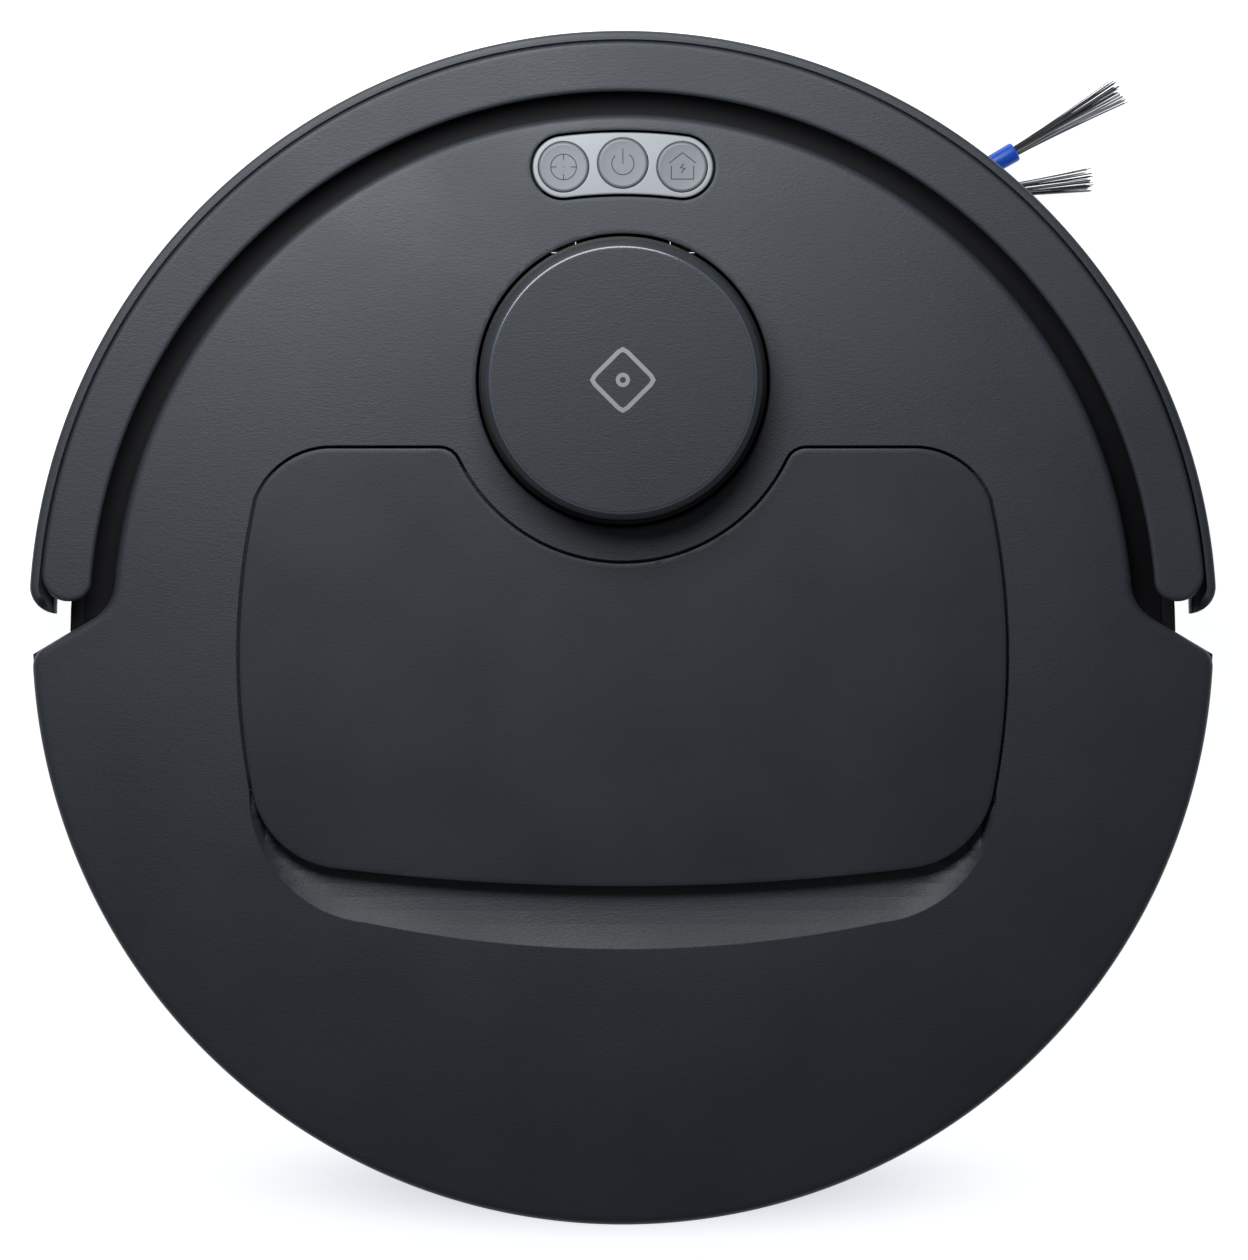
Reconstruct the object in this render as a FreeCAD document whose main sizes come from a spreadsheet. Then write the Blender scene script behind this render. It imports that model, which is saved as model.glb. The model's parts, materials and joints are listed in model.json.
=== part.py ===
import FreeCAD, Part
import math
import os
import re

import Sketcher
from FreeCAD import Placement, Rotation, Vector

# Robot vacuum, millimetres. +Y is forward (the bumper), +X is to the right, +Z is up.
# The origin is on the floor, under the centre of the round rear body.

SIZES = {
    # overall
    "body_radius": 175.0, "bumper_radius": "=body_radius + 0.9", "bumper_shift": 2.67,
    "ground_gap": 10.0, "seam_height": 58.0, "cover_top": 77.0, "turret_top": "=cover_top + 17",
    "wall": 2.5, "thin_wall": 1.5, "gap": 0.3, "bottom_round": 8.0,
    # domed top
    "dome_flat": 90.0, "dome_radius": 620.0, "dome_reach": 190.0,
    # front of the body, behind the bumper
    "front_radius": "=body_radius - 11.2", "deck_height": "=seam_height + 4", "cover_front_radius": "=body_radius - 23.9",
    "shoulder_reach": "=body_radius - 11.2", "shoulder_back": 0.5, "shoulder_angle": 30.4,
    "shoulder_hollow": 12.0, "shoulder_round": 6.0, "apron_top": "=cover_top - 8",
    # bumper
    "bumper_gap": 6.9, "bumper_inner": "=body_radius - 17.1", "bumper_top": "=cover_top - 1.4", "bumper_bottom": 14.0,
    "skin_width": 2.6, "skin_drop": 0.4, "rim_line": 0.5, "bumper_travel": 4.0,
    "window_low": 34.0, "window_tall": 16.0, "window_angle": 104.0,
    # turret
    "turret_ahead": 75.0, "turret_radius": 41.4, "turret_face": 39.5, "turret_hole": 43.3,
    "cap_thick": 6.0, "post_angle": 16.0, "rotor_radius": 33.0, "cap_travel": 1.0,
    "lidar_shaft": 3.0,
    # lid and the finger scoop behind it
    "lid_thick": 2.8, "lid_seam": 1.0, "lid_front": 54.9, "lid_horn": 54.3, "lid_shoulder": 86.9,
    "lid_cove": 54.2, "lid_side": 114.5, "lid_rear": 74.8, "recess_deep": 3.3,
    "trough_deep": 8.5,
    "hinge_ahead": 49.5, "hinge_drop": 2.5, "pin_radius": 1.2, "running_fit": 0.05,
    "scoop_rear": 93.4, "scoop_side": 106.0, "scoop_deep": 8.0,
    # buttons
    "button_orbit": 139.3, "button_angle": 7.24, "plate_half": 9.15, "plate_gap": 0.7,
    "button_radius": 7.5, "button_rise": 0.5, "button_travel": 0.6,
    # dust bin
    "bin_half": 82.0, "bin_front": 13.0, "bin_rear": 64.0, "bin_base": 17.0, "bin_tall": 47.0,
    "bin_gap": 1.5, "mouth_half": 35.0, "mouth_low": 23.0, "mouth_tall": 14.0,
    # wheels
    "wheel_radius": 33.0, "wheel_width": 20.0, "wheel_inner": 109.0, "wheel_back": 12.0,
    "tread_deep": 1.6, "pivot_ahead": 36.0, "pivot_height": 40.0, "axle_radius": 3.0,
    # caster
    "caster_ahead": 137.0, "caster_radius": 11.0, "caster_wide": 12.0, "fork_radius": 15.0,
    "caster_trail": 3.0,
    # main brush
    "roller_ahead": 50.0, "roller_height": 20.0, "roller_radius": 11.0, "roller_half": 76.0,
    "blade_reach": 18.0, "brush_box_half": 86.0, "brush_box_deep": 22.0,
    # side brush
    "brush_out": 84.0, "brush_ahead": 112.0, "hub_radius": 10.0, "arm_reach": 19.0,
    "sleeve_radius": 2.1, "sleeve_long": 29.0, "bristle_long": 35.0,
    # battery, fan, boards
    "battery_half": 66.0, "battery_front": 104.0, "battery_deep": 38.0, "battery_tall": 29.0,
    "fan_out": 60.0, "fan_back": 113.0, "fan_radius": 34.0, "fan_base": 45.0, "fan_tall": 18.0,
    "contact_out": 22.0, "contact_ahead": 117.0,
}

ALONG_X = Rotation(Vector(0, 1, 0), 90)
ALONG_Y = Rotation(Vector(1, 0, 0), -90)

doc = FreeCAD.newDocument("RobotVacuum")
sheet = doc.addObject("Spreadsheet::Sheet", "Sizes")
for row, (word, number) in enumerate(SIZES.items(), 1):
    sheet.set("A%d" % row, word)
    sheet.set("B%d" % row, str(number))
    sheet.setAlias("B%d" % row, word)
doc.recompute()

WORDS = re.compile(r"\b(%s)\b" % "|".join(SIZES))
NODES = []


def value(formula):
    """The number that a formula of the sheet's words has now."""
    return float(sheet.evalExpression(str(formula)))


def bind(item, prop, formula):
    """Tie a property to the sheet, or set it when the formula is a plain number."""
    text = str(formula)
    if WORDS.search(text):
        item.setExpression(prop, WORDS.sub(r"Sizes.\1", text))
    elif prop.isalnum():
        setattr(item, prop, float(formula))


def place(item, at, turn=Rotation()):
    """Put an item's own origin at a point whose coordinates are formulas."""
    item.Placement = Placement(Vector(*[value(part) for part in at]), turn)
    for axis, part in zip("xyz", at):
        bind(item, "Placement.Base." + axis, part)
    return item


def cylinder(name, radius, height, at=(0, 0, 0), turn=Rotation()):
    item = doc.addObject("Part::Cylinder", name)
    bind(item, "Radius", radius)
    bind(item, "Height", height)
    return place(item, at, turn)


def block(name, size, at):
    """A box whose base is centred on at."""
    item = doc.addObject("Part::Box", name)
    for prop, part in zip(("Length", "Width", "Height"), size):
        bind(item, prop, part)
    corner = ("(%s) - (%s) / 2" % (at[0], size[0]), "(%s) - (%s) / 2" % (at[1], size[1]), at[2])
    return place(item, corner)


def fuse(name, *items):
    item = doc.addObject("Part::MultiFuse", name)
    item.Shapes = list(items)
    item.Refine = True
    return item


def cut(name, base, *tools):
    item = doc.addObject("Part::Cut", name)
    item.Base = base
    item.Tool = tools[0] if len(tools) == 1 else fuse(name + "Tools", *tools)
    return item


def common(name, first, second):
    item = doc.addObject("Part::Common", name)
    item.Base = first
    item.Tool = second
    return item


def draw(sketch, corners):
    """Close an outline through corners (x, y) or (x, y, radius of the arc that arrives there).

    A positive radius turns to the left on the way, a negative one to the right.
    """
    spots = [Vector(value(corner[0]), value(corner[1]), 0) for corner in corners]
    starts, ends = [], []
    for index, corner in enumerate(corners):
        before, here = spots[index - 1], spots[index]
        if len(corner) == 2:
            edge = sketch.addGeometry(Part.LineSegment(before, here))
            starts.append((edge, 1))
            ends.append((edge, 2))
            continue
        radius = value(corner[2])
        chord = here - before
        reach = math.sqrt(max(radius ** 2 - (chord.Length / 2) ** 2, 0.0))
        aside = Vector(-chord.y, chord.x, 0).normalize() * math.copysign(reach, radius)
        centre = before + chord * 0.5 + aside
        first, last = [math.atan2(spot.y - centre.y, spot.x - centre.x) for spot in (before, here)]
        if radius < 0:
            first, last = last, first
        if last < first:
            last += 2 * math.pi
        circle = Part.Circle(centre, Vector(0, 0, 1), abs(radius))
        edge = sketch.addGeometry(Part.ArcOfCircle(circle, first, last))
        starts.append((edge, 1 if radius > 0 else 2))
        ends.append((edge, 2 if radius > 0 else 1))
        fixed = sketch.addConstraint(Sketcher.Constraint("Radius", edge, abs(radius)))
        bind(sketch, "Constraints[%d]" % fixed, "abs(%s)" % corner[2])
    for index, corner in enumerate(corners):
        edge, end = ends[index]
        following = starts[(index + 1) % len(corners)]
        sketch.addConstraint(Sketcher.Constraint("Coincident", edge, end, *following))
        for kind, formula, spot in (("DistanceX", corner[0], spots[index].x),
                                    ("DistanceY", corner[1], spots[index].y)):
            fixed = sketch.addConstraint(Sketcher.Constraint(kind, -1, 1, edge, end, spot))
            bind(sketch, "Constraints[%d]" % fixed, formula)


def sketch_in(body, role, corners):
    """A closed sketch on one of the body's own origin planes."""
    sketch = body.newObject("Sketcher::SketchObject", body.Name + "Sketch")
    plane = [item for item in body.Origin.OriginFeatures if item.Role == role][0]
    sketch.AttachmentSupport = [(plane, "")]
    sketch.MapMode = "FlatFace"
    draw(sketch, corners)
    return sketch


def turned(name, corners, at=(0, 0, 0), angle=360, turn=Rotation()):
    """A body turned about its own Z axis from a half section of (radius, height) corners."""
    body = doc.addObject("PartDesign::Body", name)
    sketch = sketch_in(body, "XZ_Plane", corners)
    lathe = body.newObject("PartDesign::Revolution", name + "Turn")
    lathe.Profile = sketch
    lathe.ReferenceAxis = (sketch, ["V_Axis"])
    bind(lathe, "Angle", angle)
    sketch.Visibility = False
    return place(body, at, turn)


def ring(name, inner, outer, height, at=(0, 0, 0), angle=360, turn=Rotation()):
    corners = [(inner, 0), (outer, 0), (outer, height), (inner, height)]
    return turned(name, corners, at, angle, turn)


def plate(name, corners, height, at=(0, 0, 0), turn=Rotation()):
    """A body padded upwards from an outline."""
    body = doc.addObject("PartDesign::Body", name)
    pad = body.newObject("PartDesign::Pad", name + "Pad")
    pad.Profile = sketch_in(body, "XY_Plane", corners)
    bind(pad, "Length", height)
    return place(body, at, turn)


def rounded(name, half_x, low_y, high_y, round_by, height, at):
    """An upright block with rounded corners, from low_y to high_y and half_x to each side."""
    corners = [
        ("-(%s) + %s" % (half_x, round_by), low_y),
        ("(%s) - %s" % (half_x, round_by), low_y),
        (half_x, "(%s) + %s" % (low_y, round_by), round_by),
        (half_x, "(%s) - %s" % (high_y, round_by)),
        ("(%s) - %s" % (half_x, round_by), high_y, round_by),
        ("-(%s) + %s" % (half_x, round_by), high_y),
        ("-(%s)" % half_x, "(%s) - %s" % (high_y, round_by), round_by),
        ("-(%s)" % half_x, "(%s) + %s" % (low_y, round_by)),
    ]
    corners[0] = corners[0] + (round_by,)
    return plate(name, corners, height, at)


def solid(name, shape):
    """A sub-part or tool whose shape comes from Part's own functions."""
    item = doc.addObject("Part::Feature", name)
    item.Shape = shape
    return item


def node(label, item):
    """Name a finished sub-part."""
    item.Label = label
    NODES.append(item)
    return item


BIG = 400


def dome(name, lift=0):
    """Everything under the domed top surface, raised by lift, down to the seam."""
    drop = "dome_radius - sqrt(dome_radius^2 - (dome_reach - dome_flat)^2)"
    top = "cover_top + (%s)" % lift
    corners = [
        (0, "seam_height"),
        ("dome_reach", "seam_height"),
        ("dome_reach", "%s - (%s)" % (top, drop)),
        ("dome_flat", top, "dome_radius"),
        (0, top),
    ]
    return turned(name, corners)


def front_wedge(name, ahead=0):
    """All that lies in front of the two slanting shoulder lines, moved ahead."""
    slope = "tan(shoulder_angle)"
    apex = "shoulder_back + shoulder_reach * %s + (%s)" % (slope, ahead)
    side = "%s - %d * %s" % (apex, BIG, slope)
    corners = [(0, apex), (-BIG, side), (-BIG, BIG), (BIG, BIG), (BIG, side)]
    return plate(name, corners, BIG, (0, 0, -BIG / 2))


def disc(name, radius, low, high):
    """A round block whose lower edge is rounded."""
    corners = [
        (0, low),
        ("(%s) - bottom_round" % radius, low),
        (radius, "(%s) + bottom_round" % low, "bottom_round"),
        (radius, high),
        (0, high),
    ]
    return turned(name, corners)


def round_upright_edges(name, item, radius, wanted):
    """Round the upright edges of an item that a test picks out."""
    doc.recompute()
    picked = []
    for number, edge in enumerate(item.Shape.Edges, 1):
        first, last = edge.Vertexes[0].Point, edge.Vertexes[-1].Point
        upright = (first - last).cross(Vector(0, 0, 1)).Length < 1e-4 and (first - last).Length > 1
        if upright and wanted(edge.CenterOfMass):
            picked.append((number, value(radius), value(radius)))
    smooth = doc.addObject("Part::Fillet", name)
    smooth.Base = item
    smooth.Edges = picked
    return smooth


def body_outline(name, rear, front, low, high, retreat):
    """The body in plan: a wide rear disc with two shoulders, and a narrower front disc."""
    rear_disc = cut(name + "Rear", disc(name + "RearDisc", rear, low, high),
                    front_wedge(name + "Wedge", "-(%s)" % retreat))
    return fuse(name, rear_disc, disc(name + "FrontDisc", front, low, high))


def make_shells():
    """Chassis, deck, top cover and the well for the dust bin."""
    outer = body_outline("BaseOuter", "body_radius", "front_radius", "ground_gap", "seam_height", 0)
    inner = body_outline("BaseInner", "body_radius - wall", "front_radius - wall",
                         "ground_gap + wall", "seam_height + wall", "wall")
    openings = [
        block("BatteryOpening", ("2 * battery_half + 12", "battery_deep + 8", 20),
              (0, "-battery_front - battery_deep / 2", 0)),
        block("BrushOpening", ("2 * brush_box_half", "2 * brush_box_deep", 20),
              (0, "roller_ahead", 0)),
        cylinder("CasterOpening", "fork_radius + 1.5", 20, (0, "caster_ahead", 0)),
        cylinder("SideBrushOpening", "hub_radius + 1.5", 20, ("brush_out", "brush_ahead", 0)),
        exhaust_sector("ExhaustOpening", "body_radius - 6", "body_radius + 6", 24, 26, 30),
    ]
    for side in (-1, 1):
        openings.append(wheel_block("WheelOpening%d" % side, side, 0, 20, 0))
        for spot, (out, ahead) in enumerate((("60", "138"), ("138", "64"))):
            openings.append(cylinder("CliffOpening%d%d" % (side, spot), 5, 20,
                                     ("%d * %s" % (side, out), ahead, 0)))
        openings.append(block("ContactOpening%d" % side, (16, 7, 20),
                              ("%d * contact_out" % side, "contact_ahead", 0)))
    tub = cut("ChassisTub", outer, inner, *openings)
    socket = turned("CasterSocket", [
        ("fork_radius + 1", "ground_gap + wall - 1"), ("fork_radius + 4", "ground_gap + wall - 1"),
        ("fork_radius + 4", 40), (0, 40), (0, 37.5), ("fork_radius + 1", 37.5)],
        (0, "caster_ahead", 0))
    node("chassis_base", fuse("ChassisBase", tub, socket))

    apron = turned("ApronRing", [
        (148, "deck_height - 1"), ("bumper_inner + 1.6", "deck_height - 1"),
        ("bumper_inner + 1.6", "deck_height + 0.5"), ("cover_front_radius + 0.4", "apron_top - 0.1"),
        (148, "apron_top - 0.1")], (0, "bumper_shift", 0))
    apron = common("ApronFront", apron, front_wedge("ApronWedge", "gap"))
    deck_rim = ring("DeckRim", 146, "front_radius", "deck_height - seam_height",
                    (0, 0, "seam_height"))
    deck_rim = common("DeckFront", deck_rim, front_wedge("DeckWedge", "gap"))
    node("front_deck", fuse("FrontDeck", apron, deck_rim))

    rear = turned("CoverRear", [
        (0, "seam_height"), ("body_radius", "seam_height"), ("body_radius", "cover_top + 2"),
        (0, "cover_top + 2")])
    front = cylinder("CoverFront", "cover_front_radius", BIG, (0, "bumper_shift", "apron_top"))
    rear = cut("CoverRearCut", rear, front_wedge("CoverWedge"))
    plan = fuse("CoverPlan", rear, front)
    plan = round_upright_edges(
        "CoverCorners", plan, "shoulder_hollow",
        lambda spot: math.hypot(spot.x, spot.y) < value("front_radius"))
    plan = round_upright_edges(
        "CoverShoulders", plan, "shoulder_round",
        lambda spot: math.hypot(spot.x, spot.y) > value("front_radius"))
    outside = common("CoverOutside", plan, dome("CoverDome"))
    rear_hollow = cylinder("HollowRear", "body_radius - wall", BIG, (0, 0, 0))
    rear_hollow = cut("HollowRearCut", rear_hollow, front_wedge("HollowWedge", "-1.2 * wall"))
    hollow = fuse("HollowPlan", rear_hollow,
                  cylinder("HollowFront", "cover_front_radius - wall", BIG, (0, "bumper_shift", 0)))
    hollow = common("CoverHollow", hollow, dome("HollowDome", "-wall"))
    skin = cut("CoverSkin", outside, hollow)

    pan = common("RecessPan", lid_solid("RecessPanPlan", "lid_seam + wall", 60, 40),
                 common("RecessPanBand", dome("RecessPanTop", "-0.5"),
                        dome_floor("RecessPanFloor", "-recess_deep - wall")))
    scoop_pan = cut("ScoopPan", common("ScoopPanTop", scoop_solid("ScoopPanSolid", "wall"),
                                       dome("ScoopPanDome", "-0.5")),
                    block("ScoopPanTrim", (BIG, BIG, BIG),
                          (0, "-bin_rear - bin_gap - thin_wall + %d / 2" % BIG, 0)))
    recess = common("Recess", lid_solid("RecessPlan", "lid_seam", 60, 40),
                    dome_floor("RecessFloor", "-recess_deep"))
    trough_pan = common("TroughPan", lid_solid("TroughPanPlan", "lid_seam + wall", 60, 40),
                        block("TroughPanBand", (BIG, 15, "trough_deep - 2.5"),
                              (0, "hinge_ahead + 4.5", "cover_top - trough_deep - thin_wall")))
    trough = common("Trough", lid_solid("TroughPlan", "lid_seam", 60, 40),
                    block("TroughBand", (BIG, 12, 12),
                          (0, "hinge_ahead + 4.5", "cover_top - trough_deep")))
    turret_well = cylinder("TurretHole", "turret_hole", BIG, (0, "turret_ahead", 0))
    pans = fuse("CoverWithPans", skin, pan, scoop_pan, trough_pan)
    cover = cut("CoverHollowed", pans, recess, trough, *corner_reliefs(),
                scoop_solid("ScoopCut", 0), turret_well,
                bin_block("LidOpening", "bin_gap", 20, 80),
                button_slot("ButtonSlot", "plate_gap", 40, 60),
                hinge_notches(),
                block("SwitchHole", ("8 + 2 * gap", "14 + 2 * gap", 20), (-98, -6, 62)),
                cylinder("ResetHole", "3 + gap", 20, (98, -6, 62)))
    lugs, pin_beds = [], []
    for side in (-1, 1):
        pin_beds.append(cylinder("PinBed%d" % side, "pin_radius", 12,
                                 ("%d * 74 - 6" % side, "hinge_ahead", "cover_top - hinge_drop"),
                                 ALONG_X))
        for end in (-1, 1):
            lugs.append(block("HingeLug%d%d" % (side, end), (2, 1.3, "trough_deep - 3"),
                              ("%d * 74 + %d * 3.9" % (side, end), "hinge_ahead - 1.05",
                               "cover_top - trough_deep")))
    node("top_cover", cut("TopCover", fuse("CoverWithLugs", cover, *lugs), *pin_beds))

    outer = bin_block("BayOuter", "bin_gap + thin_wall", "bin_base - bin_gap - thin_wall",
                      "cover_top - recess_deep - wall - bin_base + bin_gap + thin_wall - 0.6")
    inner = bin_block("BayInner", "bin_gap", "bin_base - bin_gap", 80)
    mouth = block("BayMouth", ("2 * mouth_half + 4", 30, "mouth_tall + 4"),
                  (0, "bin_front", "mouth_low - 2"))
    outlet = block("BayOutlet", (60, 30, 24), (0, "-bin_rear", 28))
    node("bin_bay", cut("BinBay", outer, inner, mouth, outlet))


def corner_reliefs():
    """Room at the recess's corners, outer and by the turret, for the lid as it swings open."""
    panel = common("SwingPanel", lid_solid("SwingPlan", "lid_seam", 60, 40),
                   block("SwingBand", (BIG, BIG, "lid_thick + 0.8"),
                         (0, 0, "cover_top - lid_thick - 0.6")))
    hinge = Vector(0, value("hinge_ahead"), value("cover_top - hinge_drop"))
    reliefs = []
    rooms = (("Outer", 100, 20), ("Horn", 47, 7))
    for angle in (25, 45, 55, 65):
        swung = doc.addObject("Part::Compound", "Swung%d" % angle)
        swung.Links = [panel]
        swung.Placement = Placement(Vector(), Rotation(Vector(-1, 0, 0), angle), hinge)
        for side in (-1, 1):
            for corner, out, wide in rooms:
                name = "%s%d%d" % (corner, angle, side)
                room = block(name + "Room", (wide, 14, 14),
                             (side * out, "hinge_ahead + 5", "cover_top - 13"))
                reliefs.append(common(name + "Relief", swung, room))
    return reliefs


def dome_floor(name, lift):
    """Everything above the domed surface that is moved by lift."""
    return cut(name, block(name + "Block", (BIG, BIG, 60), (0, 0, "seam_height + 1")),
               dome(name + "Dome", lift))


def wheel_block(name, side, low, tall, margin):
    """The room of one drive wheel, with its swing arm, on one side."""
    wide = "wheel_width + 16 + 2 * (%s)" % margin
    middle = "%d * (wheel_inner + wheel_width / 2 - 3)" % side
    deep = "2 * wheel_radius + 32 + 2 * (%s)" % margin
    return block(name, (wide, deep, tall), (middle, "9 - wheel_back", low))


def exhaust_sector(name, inner, outer, low, tall, angle):
    """A piece of a ring in the left rear of the side wall."""
    return ring(name, inner, outer, tall, (0, 0, low), angle, Rotation(Vector(0, 0, 1), 215))


def bin_block(name, margin, low, tall):
    """The dust bin's outline, wider by a margin all round."""
    return rounded(name, "bin_half + (%s)" % margin, "-bin_rear - (%s)" % margin,
                   "bin_front + (%s)" % margin, "(8 + (%s))" % margin, tall, (0, 0, low))


def lid_sketch():
    """Outline of the lid: horns beside the turret, a cove round it, bulged sides and rear."""
    sketch = doc.addObject("Sketcher::SketchObject", "LidOutline")
    cove = "turret_ahead - sqrt(lid_cove^2 - (lid_horn - 5.5)^2)"
    draw(sketch, [
        ("lid_horn - 5.5", cove, "lid_cove"),
        ("lid_horn", "lid_front", -6),
        ("lid_shoulder", "lid_front"),
        ("lid_side - 6", "lid_front - 15", -24),
        ("lid_side - 5", "-lid_rear + 27", -213),
        ("lid_side - 29", "-lid_rear + 5.3", -28),
        ("29 - lid_side", "-lid_rear + 5.3", -689),
        ("5 - lid_side", "-lid_rear + 27", -28),
        ("6 - lid_side", "lid_front - 15", -213),
        ("-lid_shoulder", "lid_front", -24),
        ("-lid_horn", "lid_front"),
        ("5.5 - lid_horn", cove, -6),
    ])
    return sketch


def lid_solid(name, margin, low, tall):
    """The lid's outline, wider by a margin, as an upright solid."""
    wider = doc.addObject("Part::Offset2D", name + "Line")
    wider.Source = doc.getObject("LidOutline")
    bind(wider, "Value", margin)
    return extruded(name, wider, tall, low)


def extruded(name, base, tall, low):
    pulled = doc.addObject("Part::Extrusion", name)
    pulled.Base = base
    pulled.DirMode = "Custom"
    pulled.Dir = Vector(0, 0, 1)
    pulled.Solid = True
    bind(pulled, "LengthFwd", tall)
    return place(pulled, (0, 0, low))


def scoop_solid(name, margin):
    """The finger hollow behind the lid: a dish that is widest at the top."""
    rear, side = "scoop_rear + (%s)" % margin, "scoop_side + (%s)" % margin
    sketch = doc.addObject("Sketcher::SketchObject", name + "Outline")
    draw(sketch, [
        ("-(%s)" % side, "-50 + (%s)" % margin),
        ("-(%s)" % side, "-62 + (%s)" % margin),
        ("30 - (%s)" % side, "-(%s) + 8" % rear, 38),
        ("(%s) - 30" % side, "-(%s) + 8" % rear, 372),
        (side, "-62 + (%s)" % margin, 38),
        (side, "-50 + (%s)" % margin),
    ])
    deep = "(scoop_deep + (%s))" % margin
    return extruded(name, sketch, "%s + 1.5" % deep, "cover_top - %s" % deep)


def hinge_notches():
    notches = [block("HingeNotch%d" % side, (10, 9, 6),
                     ("%d * 74" % side, "hinge_ahead", "cover_top - hinge_drop - 3"))
               for side in (-1, 1)]
    return fuse("HingeNotches", *notches)


def make_lid():
    """Lid with its hinge knuckles, and the two pins that it turns on."""
    band = cut("LidBand", dome("LidTop"), dome("LidUnder", "-lid_thick"))
    panel = common("LidPanel", lid_solid("LidPlan", 0, 60, 40), band)
    knuckles, bores, pins = [], [], []
    for side in (-1, 1):
        axis = (None, "hinge_ahead", "cover_top - hinge_drop")
        knuckles.append(cylinder("Knuckle%d" % side, "pin_radius + 1.2", 5,
                                 ("%d * 74 - 2.5" % side,) + axis[1:], ALONG_X))
        bores.append(cylinder("KnuckleBore%d" % side, "pin_radius + running_fit", 12,
                              ("%d * 74 - 6" % side,) + axis[1:], ALONG_X))
        pins.append(cylinder("Pin%d" % side, "pin_radius", 10,
                             ("%d * 74 - 5" % side,) + axis[1:], ALONG_X))
    node("lid", cut("LidPanelBored", fuse("LidWithKnuckles", panel, *knuckles), *bores))
    node("lid_hinge_pins", fuse("LidHingePins", *pins))


def button_slot(name, margin, low, tall):
    """The button plate's outline: a bent strip with round ends, as an upright solid."""
    half = "plate_half + (%s)" % margin
    start = "90 - button_angle"
    strip = ring(name + "Strip", "button_orbit - (%s)" % half, "button_orbit + (%s)" % half, tall,
                 (0, 0, low), "2 * button_angle",
                 Rotation(Vector(0, 0, 1), value(start)))
    ends = [cylinder("%sEnd%d" % (name, side), half, tall, button_spot(side, low))
            for side in (-1, 1)]
    return fuse(name, strip, *ends)


def button_spot(side, low):
    return ("%d * button_orbit * sin(button_angle)" % side if side else 0,
            "button_orbit * cos(%d * button_angle)" % side, low)


def make_buttons():
    band = cut("ButtonBand", dome("ButtonBandTop"), dome("ButtonBandUnder", -2))
    strip = common("ButtonStrip", button_slot("ButtonPlan", 0, 60, 40), band)
    holes = [cylinder("ButtonHole%d" % side, "button_radius + gap", 40, button_spot(side, 60))
             for side in (-1, 0, 1)]
    node("button_plate", cut("ButtonPlate", strip, *holes))
    for side, label in ((-1, "spot_button"), (0, "power_button"), (1, "dock_button")):
        pillar = cylinder(label + "Pillar", "button_radius", 40,
                          button_spot(side, "cover_top - 9.2 + button_travel + gap"))
        node(label, common(label + "Shape", pillar, dome(label + "Dome", "button_rise")))
    board = block("BoardStrip", (66, 13, 1.6), (0, "button_orbit - 1.5", "cover_top - 12.2"))
    switches = [block("BoardSwitch%d" % side, (6, 6, 1.4), button_spot(side, "cover_top - 10.6"))
                for side in (-1, 0, 1)]
    return fuse("ButtonBoard", board, *switches)


def bumper_ring(name, corners):
    """A ring about the bumper's centre, kept only in front of its slanted ends."""
    whole = turned(name + "Whole", corners, (0, "bumper_shift", 0))
    return common(name, whole, front_wedge(name + "Wedge", "bumper_gap / cos(shoulder_angle)"))


def make_bumper():
    skin_in = "bumper_radius - skin_width"
    shell = bumper_ring("BumperShell", [
        ("bumper_inner", "bumper_top - 4.5"), ("bumper_inner + 1.6", "bumper_top - 4.5"),
        ("bumper_inner + 1.6", "bumper_top - wall"), ("%s - wall" % skin_in, "bumper_top - wall"),
        ("%s - wall" % skin_in, "bumper_bottom + 3"), ("%s - 6" % skin_in, "bumper_bottom + 3"),
        ("%s - 6" % skin_in, "bumper_bottom"), (skin_in, "bumper_bottom"),
        (skin_in, "bumper_top - 1.5"), ("%s - rim_line" % skin_in, "bumper_top - 1.5"),
        ("%s - rim_line" % skin_in, "bumper_top"), ("bumper_inner", "bumper_top")])
    top = "bumper_top - skin_drop"
    skin = bumper_ring("BumperSkin", [
        (skin_in, "bumper_bottom"), ("bumper_radius - 1", "bumper_bottom"),
        ("bumper_radius", "bumper_bottom + 1", 1), ("bumper_radius", "%s - 2" % top),
        ("bumper_radius - 2", top, 2), (skin_in, top)])
    window_turn = Rotation(Vector(0, 0, 1), 90 - value("window_angle") / 2)
    slot = ring("WindowSlot", "%s - 0.02" % skin_in, "bumper_radius + 5", "window_tall",
                (0, "bumper_shift", "window_low"), "window_angle", window_turn)
    node("bumper_shell", shell)
    node("bumper_skin", cut("BumperSkinCut", skin, slot))
    window = ring("BumperWindow", skin_in, "bumper_radius - 0.3", "window_tall - gap",
                  (0, "bumper_shift", "window_low + gap / 2"), "window_angle - 0.2", window_turn)
    node("bumper_window", window)
    switches, springs = [], []
    for side in (-1, 1):
        spin = Rotation(Vector(0, 0, 1), -side * 38)
        spot = spin.multVec(Vector(0, value("front_radius") - value("wall") - 9, 40))
        case = Part.makeBox(12, 6, 10, Vector(-6, -3, -5))
        case.Placement = Placement(spot, spin)
        switches.append(solid("SwitchCase%d" % side, case))
        seat = math.sqrt(value("front_radius") ** 2 - 67 ** 2) + value("gap")
        springs.append(spring_shape(2.4, 0.4, value("bumper_gap") - 0.2, 4,
                                    Vector(side * 70, seat, 30)))
    node("bumper_switches", fuse("BumperSwitches", *switches))
    node("bumper_springs", solid("BumperSprings", Part.makeCompound(springs)))


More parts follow.
